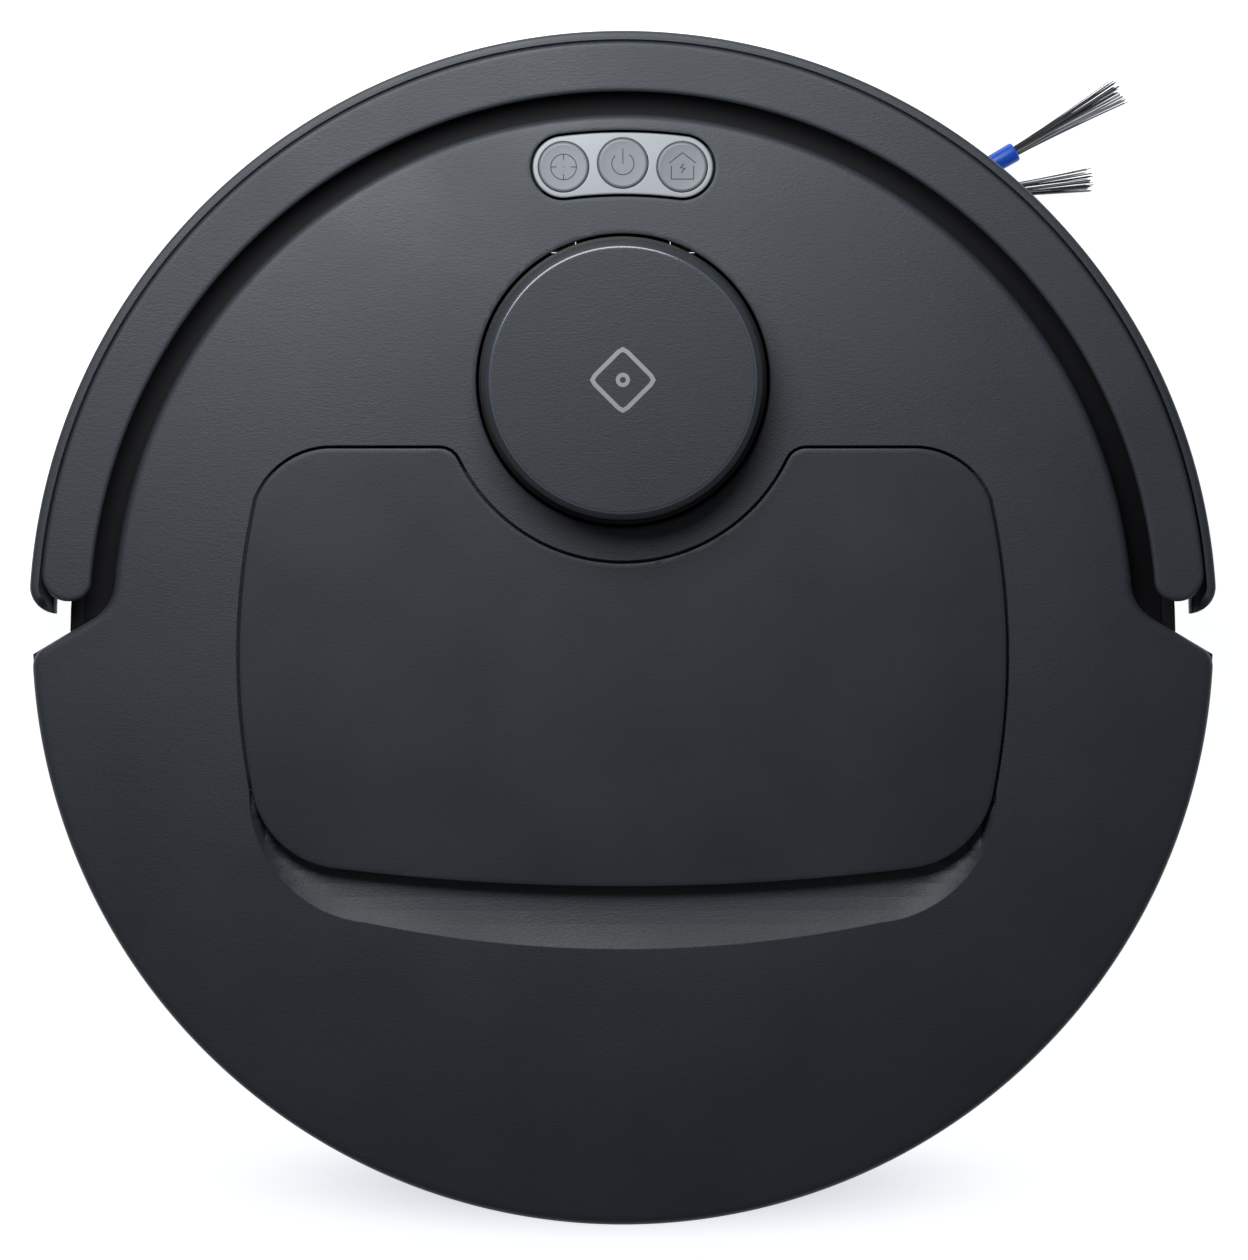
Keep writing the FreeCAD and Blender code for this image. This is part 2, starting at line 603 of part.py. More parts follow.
def spring_shape(radius, wire, long, turns, spot, along=Vector(0, 1, 0)):
    """A coil spring that starts at a spot and runs along a direction."""
    helix = Part.makeHelix(long / turns, long, radius)
    section = Part.Wire([Part.makeCircle(wire, Vector(radius, 0, 0), Vector(0, 1, 0))])
    coil = Part.Wire(helix.Edges).makePipeShell([section], True, True)
    coil.Placement = Placement(spot, Rotation(Vector(0, 0, 1), along))
    return coil


def make_turret():
    spot = (0, "turret_ahead", 0)
    node("turret_base", turned("TurretBase", [
        (8, "deck_height"), ("turret_radius + 1.2", "deck_height"),
        ("turret_radius + 1.2", "cover_top - 0.6"), ("turret_radius + 0.4", "cover_top - 0.2"),
        ("turret_radius - 4", "cover_top - 0.2"), ("turret_radius - 4", "deck_height + 2"),
        (8, "deck_height + 2")], spot))
    base = "cover_top + cap_travel + 0.6"
    top = turned("CapTop", [
        (0, "turret_top - cap_thick"), ("turret_radius", "turret_top - cap_thick"),
        ("turret_radius", "turret_top - 1.9"), ("turret_face", "turret_top"),
        (0, "turret_top")], spot)
    posts = []
    for angle in (90, 210, 330):
        turn = Rotation(Vector(0, 0, 1), angle - value("post_angle") / 2)
        posts.append(ring("Post%d" % angle, "turret_radius - 3.5", "turret_radius",
                          "turret_top - cap_thick - %s" % "(%s)" % base,
                          (0, "turret_ahead", base), "post_angle", turn))
    foot = ring("CapFoot", "turret_radius - 3.5", "turret_radius", 2, (0, "turret_ahead", base))
    node("turret_cap", fuse("TurretCap", top, foot, *posts))
    rotor = turned("RotorBody", [
        ("lidar_shaft + running_fit", "deck_height + 3"), ("rotor_radius", "deck_height + 3"),
        ("rotor_radius", "deck_height + 6"), ("rotor_radius - 3", "deck_height + 7"),
        ("rotor_radius - 3", "turret_top - cap_thick - 3"),
        ("lidar_shaft + running_fit", "turret_top - cap_thick - 3")], spot)
    eyes = [cylinder("RotorEye%d" % out, 6, 12, (out, "turret_ahead + 20", "turret_top - 15.5"),
                     ALONG_Y) for out in (-12, 12)]
    node("lidar_rotor", cut("LidarRotor", rotor, *eyes))
    can = cylinder("LidarCan", 12, 9, (0, "turret_ahead", "deck_height - 9"))
    shaft = cylinder("LidarShaft", "lidar_shaft", 20, (0, "turret_ahead", "deck_height - 1"))
    node("lidar_motor", fuse("LidarMotor", can, shaft))


def make_dust_bin():
    tub = cut("BinShell", bin_block("BinOuter", 0, "bin_base", "bin_tall"),
              bin_block("BinInner", "-thin_wall", "bin_base + thin_wall", 80),
              block("BinMouth", ("2 * mouth_half", 12, "mouth_tall"),
                    (0, "bin_front", "mouth_low")),
              block("BinOutlet", (112, 12, 26), (0, "-bin_rear", 27)))
    node("dust_bin", tub)
    top = "bin_base + bin_tall"
    handle_pit = block("HandlePit", (92, 46, 3), (0, "bin_front - 38", "%s + 0.6" % top))
    pivot = ("bin_front - 20.5", "%s + 1.9" % top)
    bores = cylinder("HandleBores", 0.85, 96, (-48,) + pivot, ALONG_X)
    node("bin_top", cut("BinTop", bin_block("BinTopPlate", 0, "%s" % top, 3.2), handle_pit, bores))
    frame = cut("FilterFrameShape",
                block("FilterOuter", (116, 8, 30), (0, "thin_wall + 4.2 - bin_rear", 25)),
                block("FilterHole", (104, 12, 20), (0, "thin_wall + 4.2 - bin_rear", 30)))
    node("filter_frame", frame)
    pleats = [block("Pleat%d" % step, (2.2, 7, 20),
                    (-50 + step * 4.0, "thin_wall + 4.2 - bin_rear", 30)) for step in range(26)]
    back = block("PleatBack", (104, 1, 20), (0, "thin_wall + 4.2 - bin_rear", 30))
    node("filter_pleats", fuse("FilterPleats", back, *pleats))
    bar = block("HandleBar", (80, 6, 2), (0, "bin_front - 55", "%s + 0.9" % top))
    arms = [block("HandleArm%d" % side, (6, 36, 2), (side * 37, "bin_front - 38", "%s + 0.9" % top))
            for side in (-1, 1)]
    pins = [cylinder("HandlePin%d" % side, 0.8, 9, (start,) + pivot, ALONG_X)
            for side, start in enumerate((-47.5, 38.5))]
    node("bin_handle", fuse("BinHandle", bar, *arms, *pins))


def make_wheels():
    sides = ((-1, "left"), (1, "right"))
    node("wheel_wells", fuse("WheelWells", *[wheel_well(side, name) for side, name in sides]))
    for side, name in sides:
        make_wheel(side, name)
    coils = [spring_shape(2.6, 0.5, 18.0, 7, Vector(side * value("wheel_inner - 4"), 22, 49),
                          Vector(0, 0, 1)) for side, name in sides]
    node("suspension_springs", solid("SuspensionSprings", Part.makeCompound(coils)))


def wheel_well(side, name):
    """The open-bottomed room of one drive wheel."""
    tall = "cover_top - recess_deep - wall - 1.5 - ground_gap - wall"
    return cut("Well" + name,
               wheel_block("WellOuter" + name, side, "ground_gap + wall", tall, "0.001"),
               wheel_block("WellInner" + name, side, "ground_gap", "%s + wall - 1.5" % tall,
                           "-thin_wall"))


def make_wheel(side, name):
    """One drive wheel: swing arm with its motor, hub and tyre."""
    turn = Rotation(Vector(0, 1, 0), 90 * side)

    def across(out):
        return "%d * (%s)" % (side, out)

    arm_in = "wheel_inner - 5"
    arm = plate("Arm" + name, [
        ("-wheel_back - 12", "wheel_radius - 12"), ("pivot_ahead + 5", "pivot_height - 5"),
        ("pivot_ahead + 5", "pivot_height + 5"), ("-wheel_back - 12", "wheel_radius + 12"),
    ], 3.4, (across(arm_in if side > 0 else "wheel_inner - 1.6"), 0, 0),
        Rotation(Vector(1, 1, 1), 120))
    motor = cylinder("Motor" + name, 12, 13, (across("wheel_inner - 2"), "-wheel_back",
                                              "wheel_radius"), turn)
    axle = cylinder("Axle" + name, "axle_radius", 20, (across("wheel_inner - 2"), "-wheel_back",
                                                       "wheel_radius"), turn)
    pivot = cylinder("Pivot" + name, 3, 8, (across("wheel_inner - 6.6"), "pivot_ahead",
                                            "pivot_height"), turn)
    node("swing_arm_" + name, fuse("SwingArm" + name, arm, motor, axle, pivot))

    rim = "wheel_radius - 8"
    hub = turned("Hub" + name, [
        ("axle_radius + running_fit", 15), (14, 15), (14, 12.4), ("%s - 3" % rim, 12.4),
        ("%s - 3" % rim, 0), (rim, 0), (rim, "wheel_width"), ("%s - 4" % rim, "wheel_width"),
        ("%s - 4" % rim, 17), ("axle_radius + running_fit", 17)],
        (across("wheel_inner"), "-wheel_back", "wheel_radius"), 360, turn)
    node("wheel_hub_" + name, hub)
    tread = ring("Tread" + name, rim, "wheel_radius - tread_deep", "wheel_width",
                 (across("wheel_inner"), "-wheel_back", "wheel_radius"), 360, turn)
    doc.recompute()
    lugs = []
    count = 30
    for step in range(count):
        lug = Part.makeBox(value("wheel_width"), 3.0, value("tread_deep") + 0.6)
        lug.translate(Vector(0, -1.5, value("wheel_radius") - value("tread_deep") - 0.6))
        lug.rotate(Vector(0, 0, 0), Vector(1, 0, 0), 360.0 * step / count)
        lugs.append(lug)
    edge = value("wheel_inner") if side > 0 else -value("wheel_inner") - value("wheel_width")
    lug_group = solid("Lugs" + name, Part.makeCompound(lugs))
    lug_group.Placement = Placement(
        Vector(edge, -value("wheel_back"), value("wheel_radius")), Rotation())
    limit = cylinder("LugLimit" + name, "wheel_radius", "wheel_width",
                     (across("wheel_inner"), "-wheel_back", "wheel_radius"), turn)
    node("tyre_" + name, common("TyreShape" + name, fuse("TyreFull" + name, tread, lug_group),
                                limit))


def make_caster():
    spot = (0, "caster_ahead", 0)
    fork = turned("ForkBody", [
        (0, "caster_radius - 4.5"), ("fork_radius", "caster_radius - 4.5"), ("fork_radius", 27),
        (4, 27), (4, 37), (0, 37)], spot)
    trail = "caster_ahead - caster_trail"
    room = cylinder("ForkRoom", "caster_radius + 2", "caster_wide + 1",
                    ("-(caster_wide + 1) / 2", trail, "caster_radius"), ALONG_X)
    bore = cylinder("ForkBore", "1.5", 40, (-20, trail, "caster_radius"), ALONG_X)
    cheeks = cut("ForkShape", fork, room, bore)
    node("caster_fork", cheeks)
    half = "sqrt(fork_radius^2 - caster_trail^2) - 1"
    node("caster_axle", cylinder("CasterAxle", "1.5", "2 * (%s)" % half,
                                 ("-(%s)" % half, trail, "caster_radius"), ALONG_X))
    wheel = turned("CasterWheel", [
        ("1.5 + running_fit", "-caster_wide / 2"), ("caster_radius - 2", "-caster_wide / 2"),
        ("caster_radius", "2 - caster_wide / 2", 2), ("caster_radius", "caster_wide / 2 - 2"),
        ("caster_radius - 2", "caster_wide / 2", 2), ("1.5 + running_fit", "caster_wide / 2")],
        (0, trail, "caster_radius"), 360, ALONG_X)
    node("caster_wheel", wheel)


def make_main_brush():
    """Cleaning head: box, roller with its blades, end caps, gear pair, motor and guard."""
    low = "ground_gap + 0.5"
    outer = block("BoxOuter", ("2 * brush_box_half - 1", "2 * brush_box_deep - 1", 36),
                  (0, "roller_ahead", low))
    inner = block("BoxInner", ("2 * brush_box_half - 5", "2 * brush_box_deep - 5", 36),
                  (0, "roller_ahead", "%s - 2" % low))
    mouth = block("BoxMouth", ("2 * mouth_half", 10, "mouth_tall"),
                  (0, "roller_ahead - brush_box_deep", "mouth_low"))
    shaft = cylinder("BoxShaftHole", 4, BIG, (-BIG / 2, "roller_ahead", "roller_height"), ALONG_X)
    duct = block("DuctOuter", ("2 * mouth_half + 6", "roller_ahead - brush_box_deep - bin_front - 3.4",
                               "mouth_tall + 6"),
                 (0, "(roller_ahead - brush_box_deep + bin_front + 3.4) / 2", "mouth_low - 3"))
    hole = block("DuctHole", ("2 * mouth_half", 60, "mouth_tall"),
                 (0, "(roller_ahead - brush_box_deep + bin_front) / 2", "mouth_low"))
    node("brush_box", fuse("BrushBoxAndDuct", cut("BrushBox", outer, inner, mouth, shaft),
                           cut("IntakeDuct", duct, hole)))
    core = cylinder("RollerCore", "roller_radius", "2 * roller_half",
                    ("-roller_half", "roller_ahead", "roller_height"), ALONG_X)
    stub = cylinder("RollerStub", 3, "2 * roller_half + 30",
                    ("-roller_half - 18", "roller_ahead", "roller_height"), ALONG_X)
    node("brush_roller", fuse("BrushRoller", core, stub))
    blades = []
    doc.recompute()
    for step in range(6):
        blade = Part.makeBox(2 * value("roller_half") - 4, 1.6,
                             value("blade_reach") - value("roller_radius"),
                             Vector(2 - value("roller_half"), -0.8, value("roller_radius")))
        blade.rotate(Vector(0, 0, 0), Vector(1, 0, 0), 60.0 * step + 30)
        blades.append(blade)
    group = solid("BrushBlades", Part.makeCompound(blades))
    group.Placement = Placement(Vector(0, value("roller_ahead"), value("roller_height")),
                                Rotation())
    node("brush_blades", group)
    gear_at = ("-brush_box_half - 6", "roller_ahead", "roller_height")
    node("brush_gear", cut("BrushGear", gear_wheel("GearTeeth", 22, 0.6, 4, gear_at, 0),
                           cylinder("GearBore", 3, 20, ("-brush_box_half - 14", "roller_ahead",
                                                        "roller_height"), ALONG_X)))
    pinion_high = "roller_height + 10"
    pinion_at = ("-brush_box_half - 6", "roller_ahead", pinion_high)
    node("brush_pinion", cut("BrushPinion", gear_wheel("PinionTeeth", 11, 0.6, 4, pinion_at, 180 / 11),
                             cylinder("PinionBore", "1.2 + running_fit", 20,
                                      ("-brush_box_half - 14", "roller_ahead", pinion_high),
                                      ALONG_X)))
    motor_high = "roller_height + 37"
    motor = fuse(
        "BrushMotor",
        cylinder("BrushMotorCan", 9, 32, ("-brush_box_half - 11", "roller_ahead", motor_high),
                 ALONG_X),
        block("BrushGearCase", (3, 18, 42), ("-brush_box_half - 9.5", "roller_ahead", 24)),
        cylinder("PinionAxle", 1.2, 7, ("-brush_box_half - 9", "roller_ahead", pinion_high),
                 ALONG_X))
    node("brush_motor", motor)
    rim = cut("GuardRim", block("GuardOuter", ("2 * brush_box_half + 10", "2 * brush_box_deep + 10",
                                              1.8), (0, "roller_ahead", "ground_gap - 1.8")),
              block("GuardInner", ("2 * roller_half + 4", "2 * blade_reach + 4", 6),
                    (0, "roller_ahead", 5)))
    node("brush_guard", rim)


def gear_wheel(name, teeth, module, wide, at, turn):
    """A plain spur gear along X whose teeth are simple blocks with slanted flanks."""
    pitch = teeth * module / 2
    corners = []
    for step in range(teeth):
        for share, reach in ((0.0, -1.2), (0.18, -1.2), (0.36, 0.9), (0.64, 0.9), (0.82, -1.2)):
            angle = 2 * math.pi * (step + share) / teeth + math.radians(turn)
            radius = pitch + reach * module
            corners.append(Vector(radius * math.cos(angle), radius * math.sin(angle), 0))
    face = Part.Face(Part.makePolygon(corners + [corners[0]]))
    item = solid(name, face.extrude(Vector(0, 0, wide)))
    return place(item, at, ALONG_X)


def make_side_brush():
    hub_at = ("brush_out", "brush_ahead", 4)
    hub = turned("SideHub", [
        (0, 0), ("hub_radius - 2", 0), ("hub_radius", 2, 2), ("hub_radius", 5), (4, 5), (4, 12),
        (0, 12)], hub_at)
    doc.recompute()
    centre = Vector(value("brush_out"), value("brush_ahead"), 6.4)
    arms, sleeves, tufts = [], [], []
    for step in range(3):
        spin = Rotation(Vector(0, 0, 1), 66 + 120 * step)
        elbow = centre + spin.multVec(Vector(value("arm_reach"), 0, 0))
        arms.append(rod(centre, elbow, 2.6, 2.6))
        arms.append(Part.makeSphere(2.8, elbow))
        for angle, long, dip, sleeved in ((-36, value("sleeve_long"), 1.0, True),
                                          (-59, 12.0, 0.4, False)):
            way = Rotation(Vector(0, 0, 1), 66 + 120 * step + angle).multVec(Vector(1, 0, 0))
            tip = elbow + way * long - Vector(0, 0, dip)
            holder = rod(elbow, tip, value("sleeve_radius"), value("sleeve_radius"))
            (sleeves if sleeved else arms).append(holder)
            end = tip + way * value("bristle_long") - Vector(0, 0, 2.0)
            tufts.append(rod(tip, end, 1.6, 2.4))
    arm_solid = arms[0].multiFuse(arms[1:])
    hub_full = fuse("SideBrushHub", hub, solid("SideArms", arm_solid))
    sleeve_solid = Part.makeCompound([piece.cut(arm_solid) for piece in sleeves])
    node("side_brush_hub", hub_full)
    node("side_brush_sleeves", solid("SideBrushSleeves", sleeve_solid))
    node("side_brush_bristles", solid("SideBrushBristles", Part.makeCompound(
        [piece.cut(arm_solid).cut(sleeve_solid) for piece in tufts])))
    node("side_brush_gearbox", cylinder("SideGearbox", 15, 16, ("brush_out", "brush_ahead", 16.5)))


def rod(start, end, radius_start, radius_end):
    """A round or tapered rod between two points."""
    way = end - start
    if abs(radius_start - radius_end) < 1e-6:
        return Part.makeCylinder(radius_start, way.Length, start, way)
    return Part.makeCone(radius_start, radius_end, way.Length, start, way)


def make_inside(button_board):
    """Battery, fan, boards and the small pieces of the underside."""
    middle = "-battery_front - battery_deep / 2"
    node("battery_pack", block("BatteryPack", ("2 * battery_half", "battery_deep", "battery_tall"),
                               (0, middle, "ground_gap + wall + 1")))
    node("battery_door", block("BatteryDoor", ("2 * battery_half + 11.4", "battery_deep + 7.4",
                                               "wall"), (0, middle, "ground_gap")))
    fan = ("-fan_out", "-fan_back", "fan_base")
    shell = turned("FanHousing", [
        (18, 0), ("fan_radius", 0), ("fan_radius", "fan_tall"), (0, "fan_tall"),
        (0, "fan_tall - 2"), ("fan_radius - 2", "fan_tall - 2"), ("fan_radius - 2", 2), (18, 2)],
        fan)
    node("fan_housing", shell)
    hub_at = ("-fan_out", "-fan_back", "fan_base + 3")
    disc_plate = cylinder("ImpellerDisc", "fan_radius - 6", 1.2, hub_at)
    boss = cylinder("ImpellerBoss", 5, 7, hub_at)
    doc.recompute()
    vane = Part.makeBox(value("fan_radius") - 12, 1.2, 6, Vector(5, -0.6, 1))
    vane.rotate(Vector(5, 0, 0), Vector(0, 0, 1), 25)
    vanes = []
    for step in range(9):
        copy = vane.copy()
        copy.rotate(Vector(0, 0, 0), Vector(0, 0, 1), 40 * step)
        vanes.append(copy)
    vane_group = solid("ImpellerVanes", Part.makeCompound(vanes))
    place(vane_group, hub_at)
    node("fan_impeller", fuse("FanImpeller", disc_plate, boss, vane_group))
    node("fan_motor", cylinder("FanMotor", 13, 4, ("-fan_out", "-fan_back", "fan_base + 11")))
    grille = exhaust_sector("GrillePlate", "body_radius - wall", "body_radius", 24.3, 25.4, 29.6)
    slots = [ring("GrilleSlot%d" % step, "body_radius - 9", "body_radius + 9", 19.4,
                  (0, 0, 27.3), 2.2, Rotation(Vector(0, 0, 1), 216.5 + step * 3.4))
             for step in range(8)]
    node("exhaust_grille", cut("ExhaustGrille", grille, *slots))
    board = block("BoardPlate", (86, 50, 1.6), (58, -108, 46))
    chips = [block("Chip%d" % step, (size, size, 1.4), (30 + 19 * step, -112 + 8 * (step % 2), 47.6))
             for step, size in enumerate((14, 9, 12, 8))]
    node("circuit_boards", fuse("CircuitBoards", board, button_board, *chips))
    node("speaker", cylinder("Speaker", 13, 7, (118, -88, "ground_gap + wall + 0.2")))
    contacts = [block("Contact%d" % side, (15.6, 6.6, 3), ("%d * contact_out" % side,
                "contact_ahead", "ground_gap - 0.4")) for side in (-1, 1)]
    node("charge_contacts", fuse("ChargeContacts", *contacts))
    lenses = []
    for side in (-1, 1):
        for out, ahead in ((60, 138), (138, 64)):
            lenses.append(cylinder("Lens%d%d" % (side, out), 4.8, 4, (side * out, ahead,
                                                                       "ground_gap + 0.4")))
    node("cliff_lenses", fuse("CliffLenses", *lenses))
    screws = []
    for angle in (20, 68, 112, 160, 200, 247, 293, 340):
        out = 158 * math.cos(math.radians(angle))
        ahead = 150 * math.sin(math.radians(angle))
        screws.append(cylinder("Screw%d" % angle, 3, 0.9, (out, ahead, "ground_gap - 0.9")))
    node("base_screws", fuse("BaseScrews", *screws))
    low = "cover_top - recess_deep - wall"
    node("power_switch", block("PowerSwitch", (8, 14, "wall + 0.2"), (-98, -6, low)))
    node("reset_button", cylinder("ResetButton", 3, "wall + 0.2", (98, -6, low)))


def write_parts():
    doc.recompute()
    failed = [item.Name for item in doc.Objects
              if any(word in item.State for word in ("Invalid", "Error"))]
    if failed:
        raise RuntimeError("These failed to build: " + ", ".join(failed))
    for item in NODES:
        if item.Shape.isNull() or not item.Shape.isValid() or not item.Shape.Solids:
            raise RuntimeError("%s has no valid solid" % item.Label)
    os.makedirs("parts", exist_ok=True)
    for item in NODES:
        item.Shape.exportStep("parts/%s.step" % item.Label)


lid_sketch()
make_shells()
make_lid()
button_board = make_buttons()
make_bumper()
make_turret()
make_dust_bin()
make_wheels()
make_caster()
make_main_brush()
make_side_brush()
make_inside(button_board)
write_parts()
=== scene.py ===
import json
import math
import random

import bmesh
import bpy
from mathutils import Matrix, Vector


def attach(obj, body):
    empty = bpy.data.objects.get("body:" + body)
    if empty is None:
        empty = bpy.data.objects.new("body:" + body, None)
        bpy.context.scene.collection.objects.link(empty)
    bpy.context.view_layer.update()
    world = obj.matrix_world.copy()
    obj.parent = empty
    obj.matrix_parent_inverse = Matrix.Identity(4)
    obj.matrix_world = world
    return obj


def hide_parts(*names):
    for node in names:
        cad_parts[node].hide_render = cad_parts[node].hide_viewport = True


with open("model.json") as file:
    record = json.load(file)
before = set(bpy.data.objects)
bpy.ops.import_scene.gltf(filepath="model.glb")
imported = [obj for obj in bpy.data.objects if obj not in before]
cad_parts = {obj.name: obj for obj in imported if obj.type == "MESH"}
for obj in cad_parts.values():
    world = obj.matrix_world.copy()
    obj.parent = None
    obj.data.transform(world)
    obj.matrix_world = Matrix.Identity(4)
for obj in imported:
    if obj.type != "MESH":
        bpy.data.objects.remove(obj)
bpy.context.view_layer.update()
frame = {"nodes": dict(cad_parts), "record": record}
random.seed(7)

MM = 0.001

# The sizes that the looks share with the design, in millimetres.
TOP = 77.0                # the flat middle of the domed cover
SEAM = 58.0               # where the cover meets the chassis
BODY_R = 175.0
COVER_FRONT_R = 151.1
COVER_ROUND = 2.2         # the rolled edge of the cover
SHIFT = 2.67              # the bumper's centre lies this far ahead of the body's
DOME_FLAT, DOME_R = 90.0, 620.0
SHOULDER = (163.8, 0.5, math.radians(30.4))   # its reach, how far back, and its slant
BUMPER_GAP = 6.9          # between the shoulder and the bumper's end
BUMPER_IN, BUMPER_OUT, BUMPER_TOP, BUMPER_LOW = 157.9, 175.9, 75.6, 14.0
RING_R = 172.8            # the bumper's broad flat ring, inside its skin
SKIN_IN, SKIN_BACK = 161.5, 1.4
WALL_CLEAR = 168.6        # keeps the pressed bumper off the chassis and the deck
WINDOW_LOW, WINDOW_HIGH, WINDOW_HALF = 34.0, 50.0, 52.0   # heights, and half its angle
TURRET_Y = 75.0
TURRET_R, TURRET_TOP, CAP_LOW, WELL_R = 41.4, 94.0, 88.0, 43.45
SEAM_GAP, LIP_DEEP, FLOOR_DEEP, SCOOP_DEEP, TROUGH_DEEP = 0.75, 0.35, 3.3, 4.2, 8.5
LID_THICK, LID_REAR_Y = 2.8, -47.8
HINGE_Y, HINGE_OUT, HINGE_Z = 49.5, 74.0, 74.5
KNUCKLE_R, KNUCKLE_LONG = 2.4, 5.0
ORBIT, SPREAD, BUTTON_R = 139.3, 7.24, 7.5    # the buttons stand on an arc about the middle
PLATE_HALF, PLATE_GAP, BUTTON_RISE = 9.15, 0.7, 0.5
BRUSH = (84.0, 112.0)     # the side brush's axis
BRUSH_HEIGHT, ARM_REACH, FIRST_SPOKE, SLEEVE_LEAN = 6.4, 19.0, 66, -36


def dome_drop(x, y):
    """How far the domed top lies under its flat middle."""
    out = max(math.hypot(x, y) - DOME_FLAT, 0.0)
    return DOME_R - math.sqrt(DOME_R ** 2 - out ** 2)


# ---------------------------------------------------------------- outlines

def arc(centre, radius, start, end, step=2.0):
    """Points along an arc, angles in degrees, its first point left out."""
    count = max(3, int(abs(math.radians(end - start)) * radius / step))
    points = []
    for index in range(1, count + 1):
        angle = math.radians(start + (end - start) * index / count)
        points.append((centre[0] + radius * math.cos(angle), centre[1] + radius * math.sin(angle)))
    return points


def outline(corners, step=2.0):
    """A closed outline through corners (x, y) or (x, y, radius of the arc that arrives there).

    A positive radius turns to the left on the way, a negative one to the right.
    """
    points = []
    for index, corner in enumerate(corners):
        x0, y0 = corners[index - 1][:2]
        x1, y1 = corner[:2]
        if len(corner) == 2:
            length = math.hypot(x1 - x0, y1 - y0)
            count = max(1, int(length / (step * 3)))
            points += [(x0 + (x1 - x0) * part / count, y0 + (y1 - y0) * part / count)
                       for part in range(1, count + 1)]
            continue
        radius = corner[2]
        chord = Vector((x1 - x0, y1 - y0))
        reach = math.sqrt(max(radius ** 2 - (chord.length / 2) ** 2, 0.0))
        side = Vector((-chord.y, chord.x)).normalized() * math.copysign(reach, radius)
        centre = Vector((x0, y0)) + chord * 0.5 + side
        start = math.degrees(math.atan2(y0 - centre.y, x0 - centre.x))
        end = math.degrees(math.atan2(y1 - centre.y, x1 - centre.x))
        if radius > 0 and end < start:
            end += 360
        if radius < 0 and end > start:
            end -= 360
        points += arc(centre, abs(radius), start, end, step)
    return points


def offset(points, distance):
    """The outline moved outwards by a distance, or inwards when it is negative."""
    count = len(points)
    area = sum(points[i - 1][0] * points[i][1] - points[i][0] * points[i - 1][1]
               for i in range(count))
    sign = 1.0 if area > 0 else -1.0
    moved = []
    for i in range(count):
        before, here, after = (Vector(points[i - 1]), Vector(points[i]),
                               Vector(points[(i + 1) % count]))
        first, second = (here - before).normalized(), (after - here).normalized()
        normal = Vector((first.y + second.y, -first.x - second.x)) * sign
        normal.normalize()
        lean = max(0.4, normal.dot(Vector((first.y, -first.x)) * sign))
        moved.append((here.x + normal.x * distance / lean, here.y + normal.y * distance / lean))
    return moved


def line_meets_circle(ahead, centre_y, radius):
    """Where the right shoulder line, moved ahead along its normal, meets a circle."""
    reach, back, angle = SHOULDER
    way = Vector((math.cos(angle), -math.sin(angle)))
    normal = Vector((math.sin(angle), math.cos(angle)))
    start = Vector((reach, back)) + normal * ahead
    to_start = start - Vector((0, centre_y))
    half = to_start.dot(way)
    length = math.sqrt(half ** 2 - to_start.length ** 2 + radius ** 2)
    return start + way * (length - half)


def mirrored(right):
    """A right-hand run of points from front to rear, closed with its mirror image."""
    return right + [(-x, y) for x, y in reversed(right) if x > 1e-6]


def cover_outline(step=2.0, hollow=13.0, round_by=6.5):
    """The cover in plan: front arc, hollow corner, shoulder, rounded corner, rear arc."""
    inner = line_meets_circle(hollow, SHIFT, COVER_FRONT_R + hollow)
    outer = line_meets_circle(-round_by, 0, BODY_R - round_by)
    lean = 90 - math.degrees(SHOULDER[2])
    to_inner = math.degrees(math.atan2(inner.y - SHIFT, inner.x))
    to_outer = math.degrees(math.atan2(outer.y, outer.x))
    right = [(0.0, COVER_FRONT_R + SHIFT)]
    right += arc((0, SHIFT), COVER_FRONT_R, 90, to_inner, step)
    right += arc(inner, hollow, 180 + to_inner, 180 + lean, 1.2)
    right += arc(outer, round_by, lean, to_outer, 1.0)
    right += arc((0, 0), BODY_R, to_outer, -90, step)
    return mirrored(right)


def lid_outline():
    """The lid in plan: a cove round the turret, square shoulders and a bowed rear edge."""
    cove_r, cove_half, front, rear = 54.2, 48.8, 54.9, -69.5
    cove = TURRET_Y - math.sqrt(cove_r ** 2 - cove_half ** 2)
    return outline([
        (cove_half, cove, cove_r), (54.3, front, -6), (86.9, front), (108.5, 39.9, -24),
        (109.5, LID_REAR_Y, -213), (85.5, rear, -28), (-85.5, rear, -689),
        (-109.5, LID_REAR_Y, -28), (-108.5, 39.9, -213), (-86.9, front, -24), (-54.3, front),
        (-cove_half, cove, -6)], 1.5)


def circle(centre, radius, step=1.5):
    """Points round a full circle."""
    return arc(centre, radius, 0, 360, step)


def button_spot(side):
    """The middle of the left (-1), middle (0) or right (1) button."""
    angle = math.radians(side * SPREAD)
    return ORBIT * math.sin(angle), ORBIT * math.cos(angle)


def strip_outline(half):
    """The bent strip with round ends that carries the buttons."""
    points = arc((0, 0), ORBIT + half, 90 - SPREAD, 90 + SPREAD, 1.5)
    points += arc(button_spot(-1), half, 90 + SPREAD, 270 + SPREAD, 0.8)
    points += arc((0, 0), ORBIT - half, 90 + SPREAD, 90 - SPREAD, 1.5)
    points += arc(button_spot(1), half, -90 - SPREAD, 90 - SPREAD, 0.8)
    return points


# ---------------------------------------------------------------- mesh making


def lift(points, height):
    """Plan points at one height, or each at its own height."""
    if callable(height):
        return [(x, y, height(x, y)) for x, y in points]
    return [(x, y, height) for x, y in points]


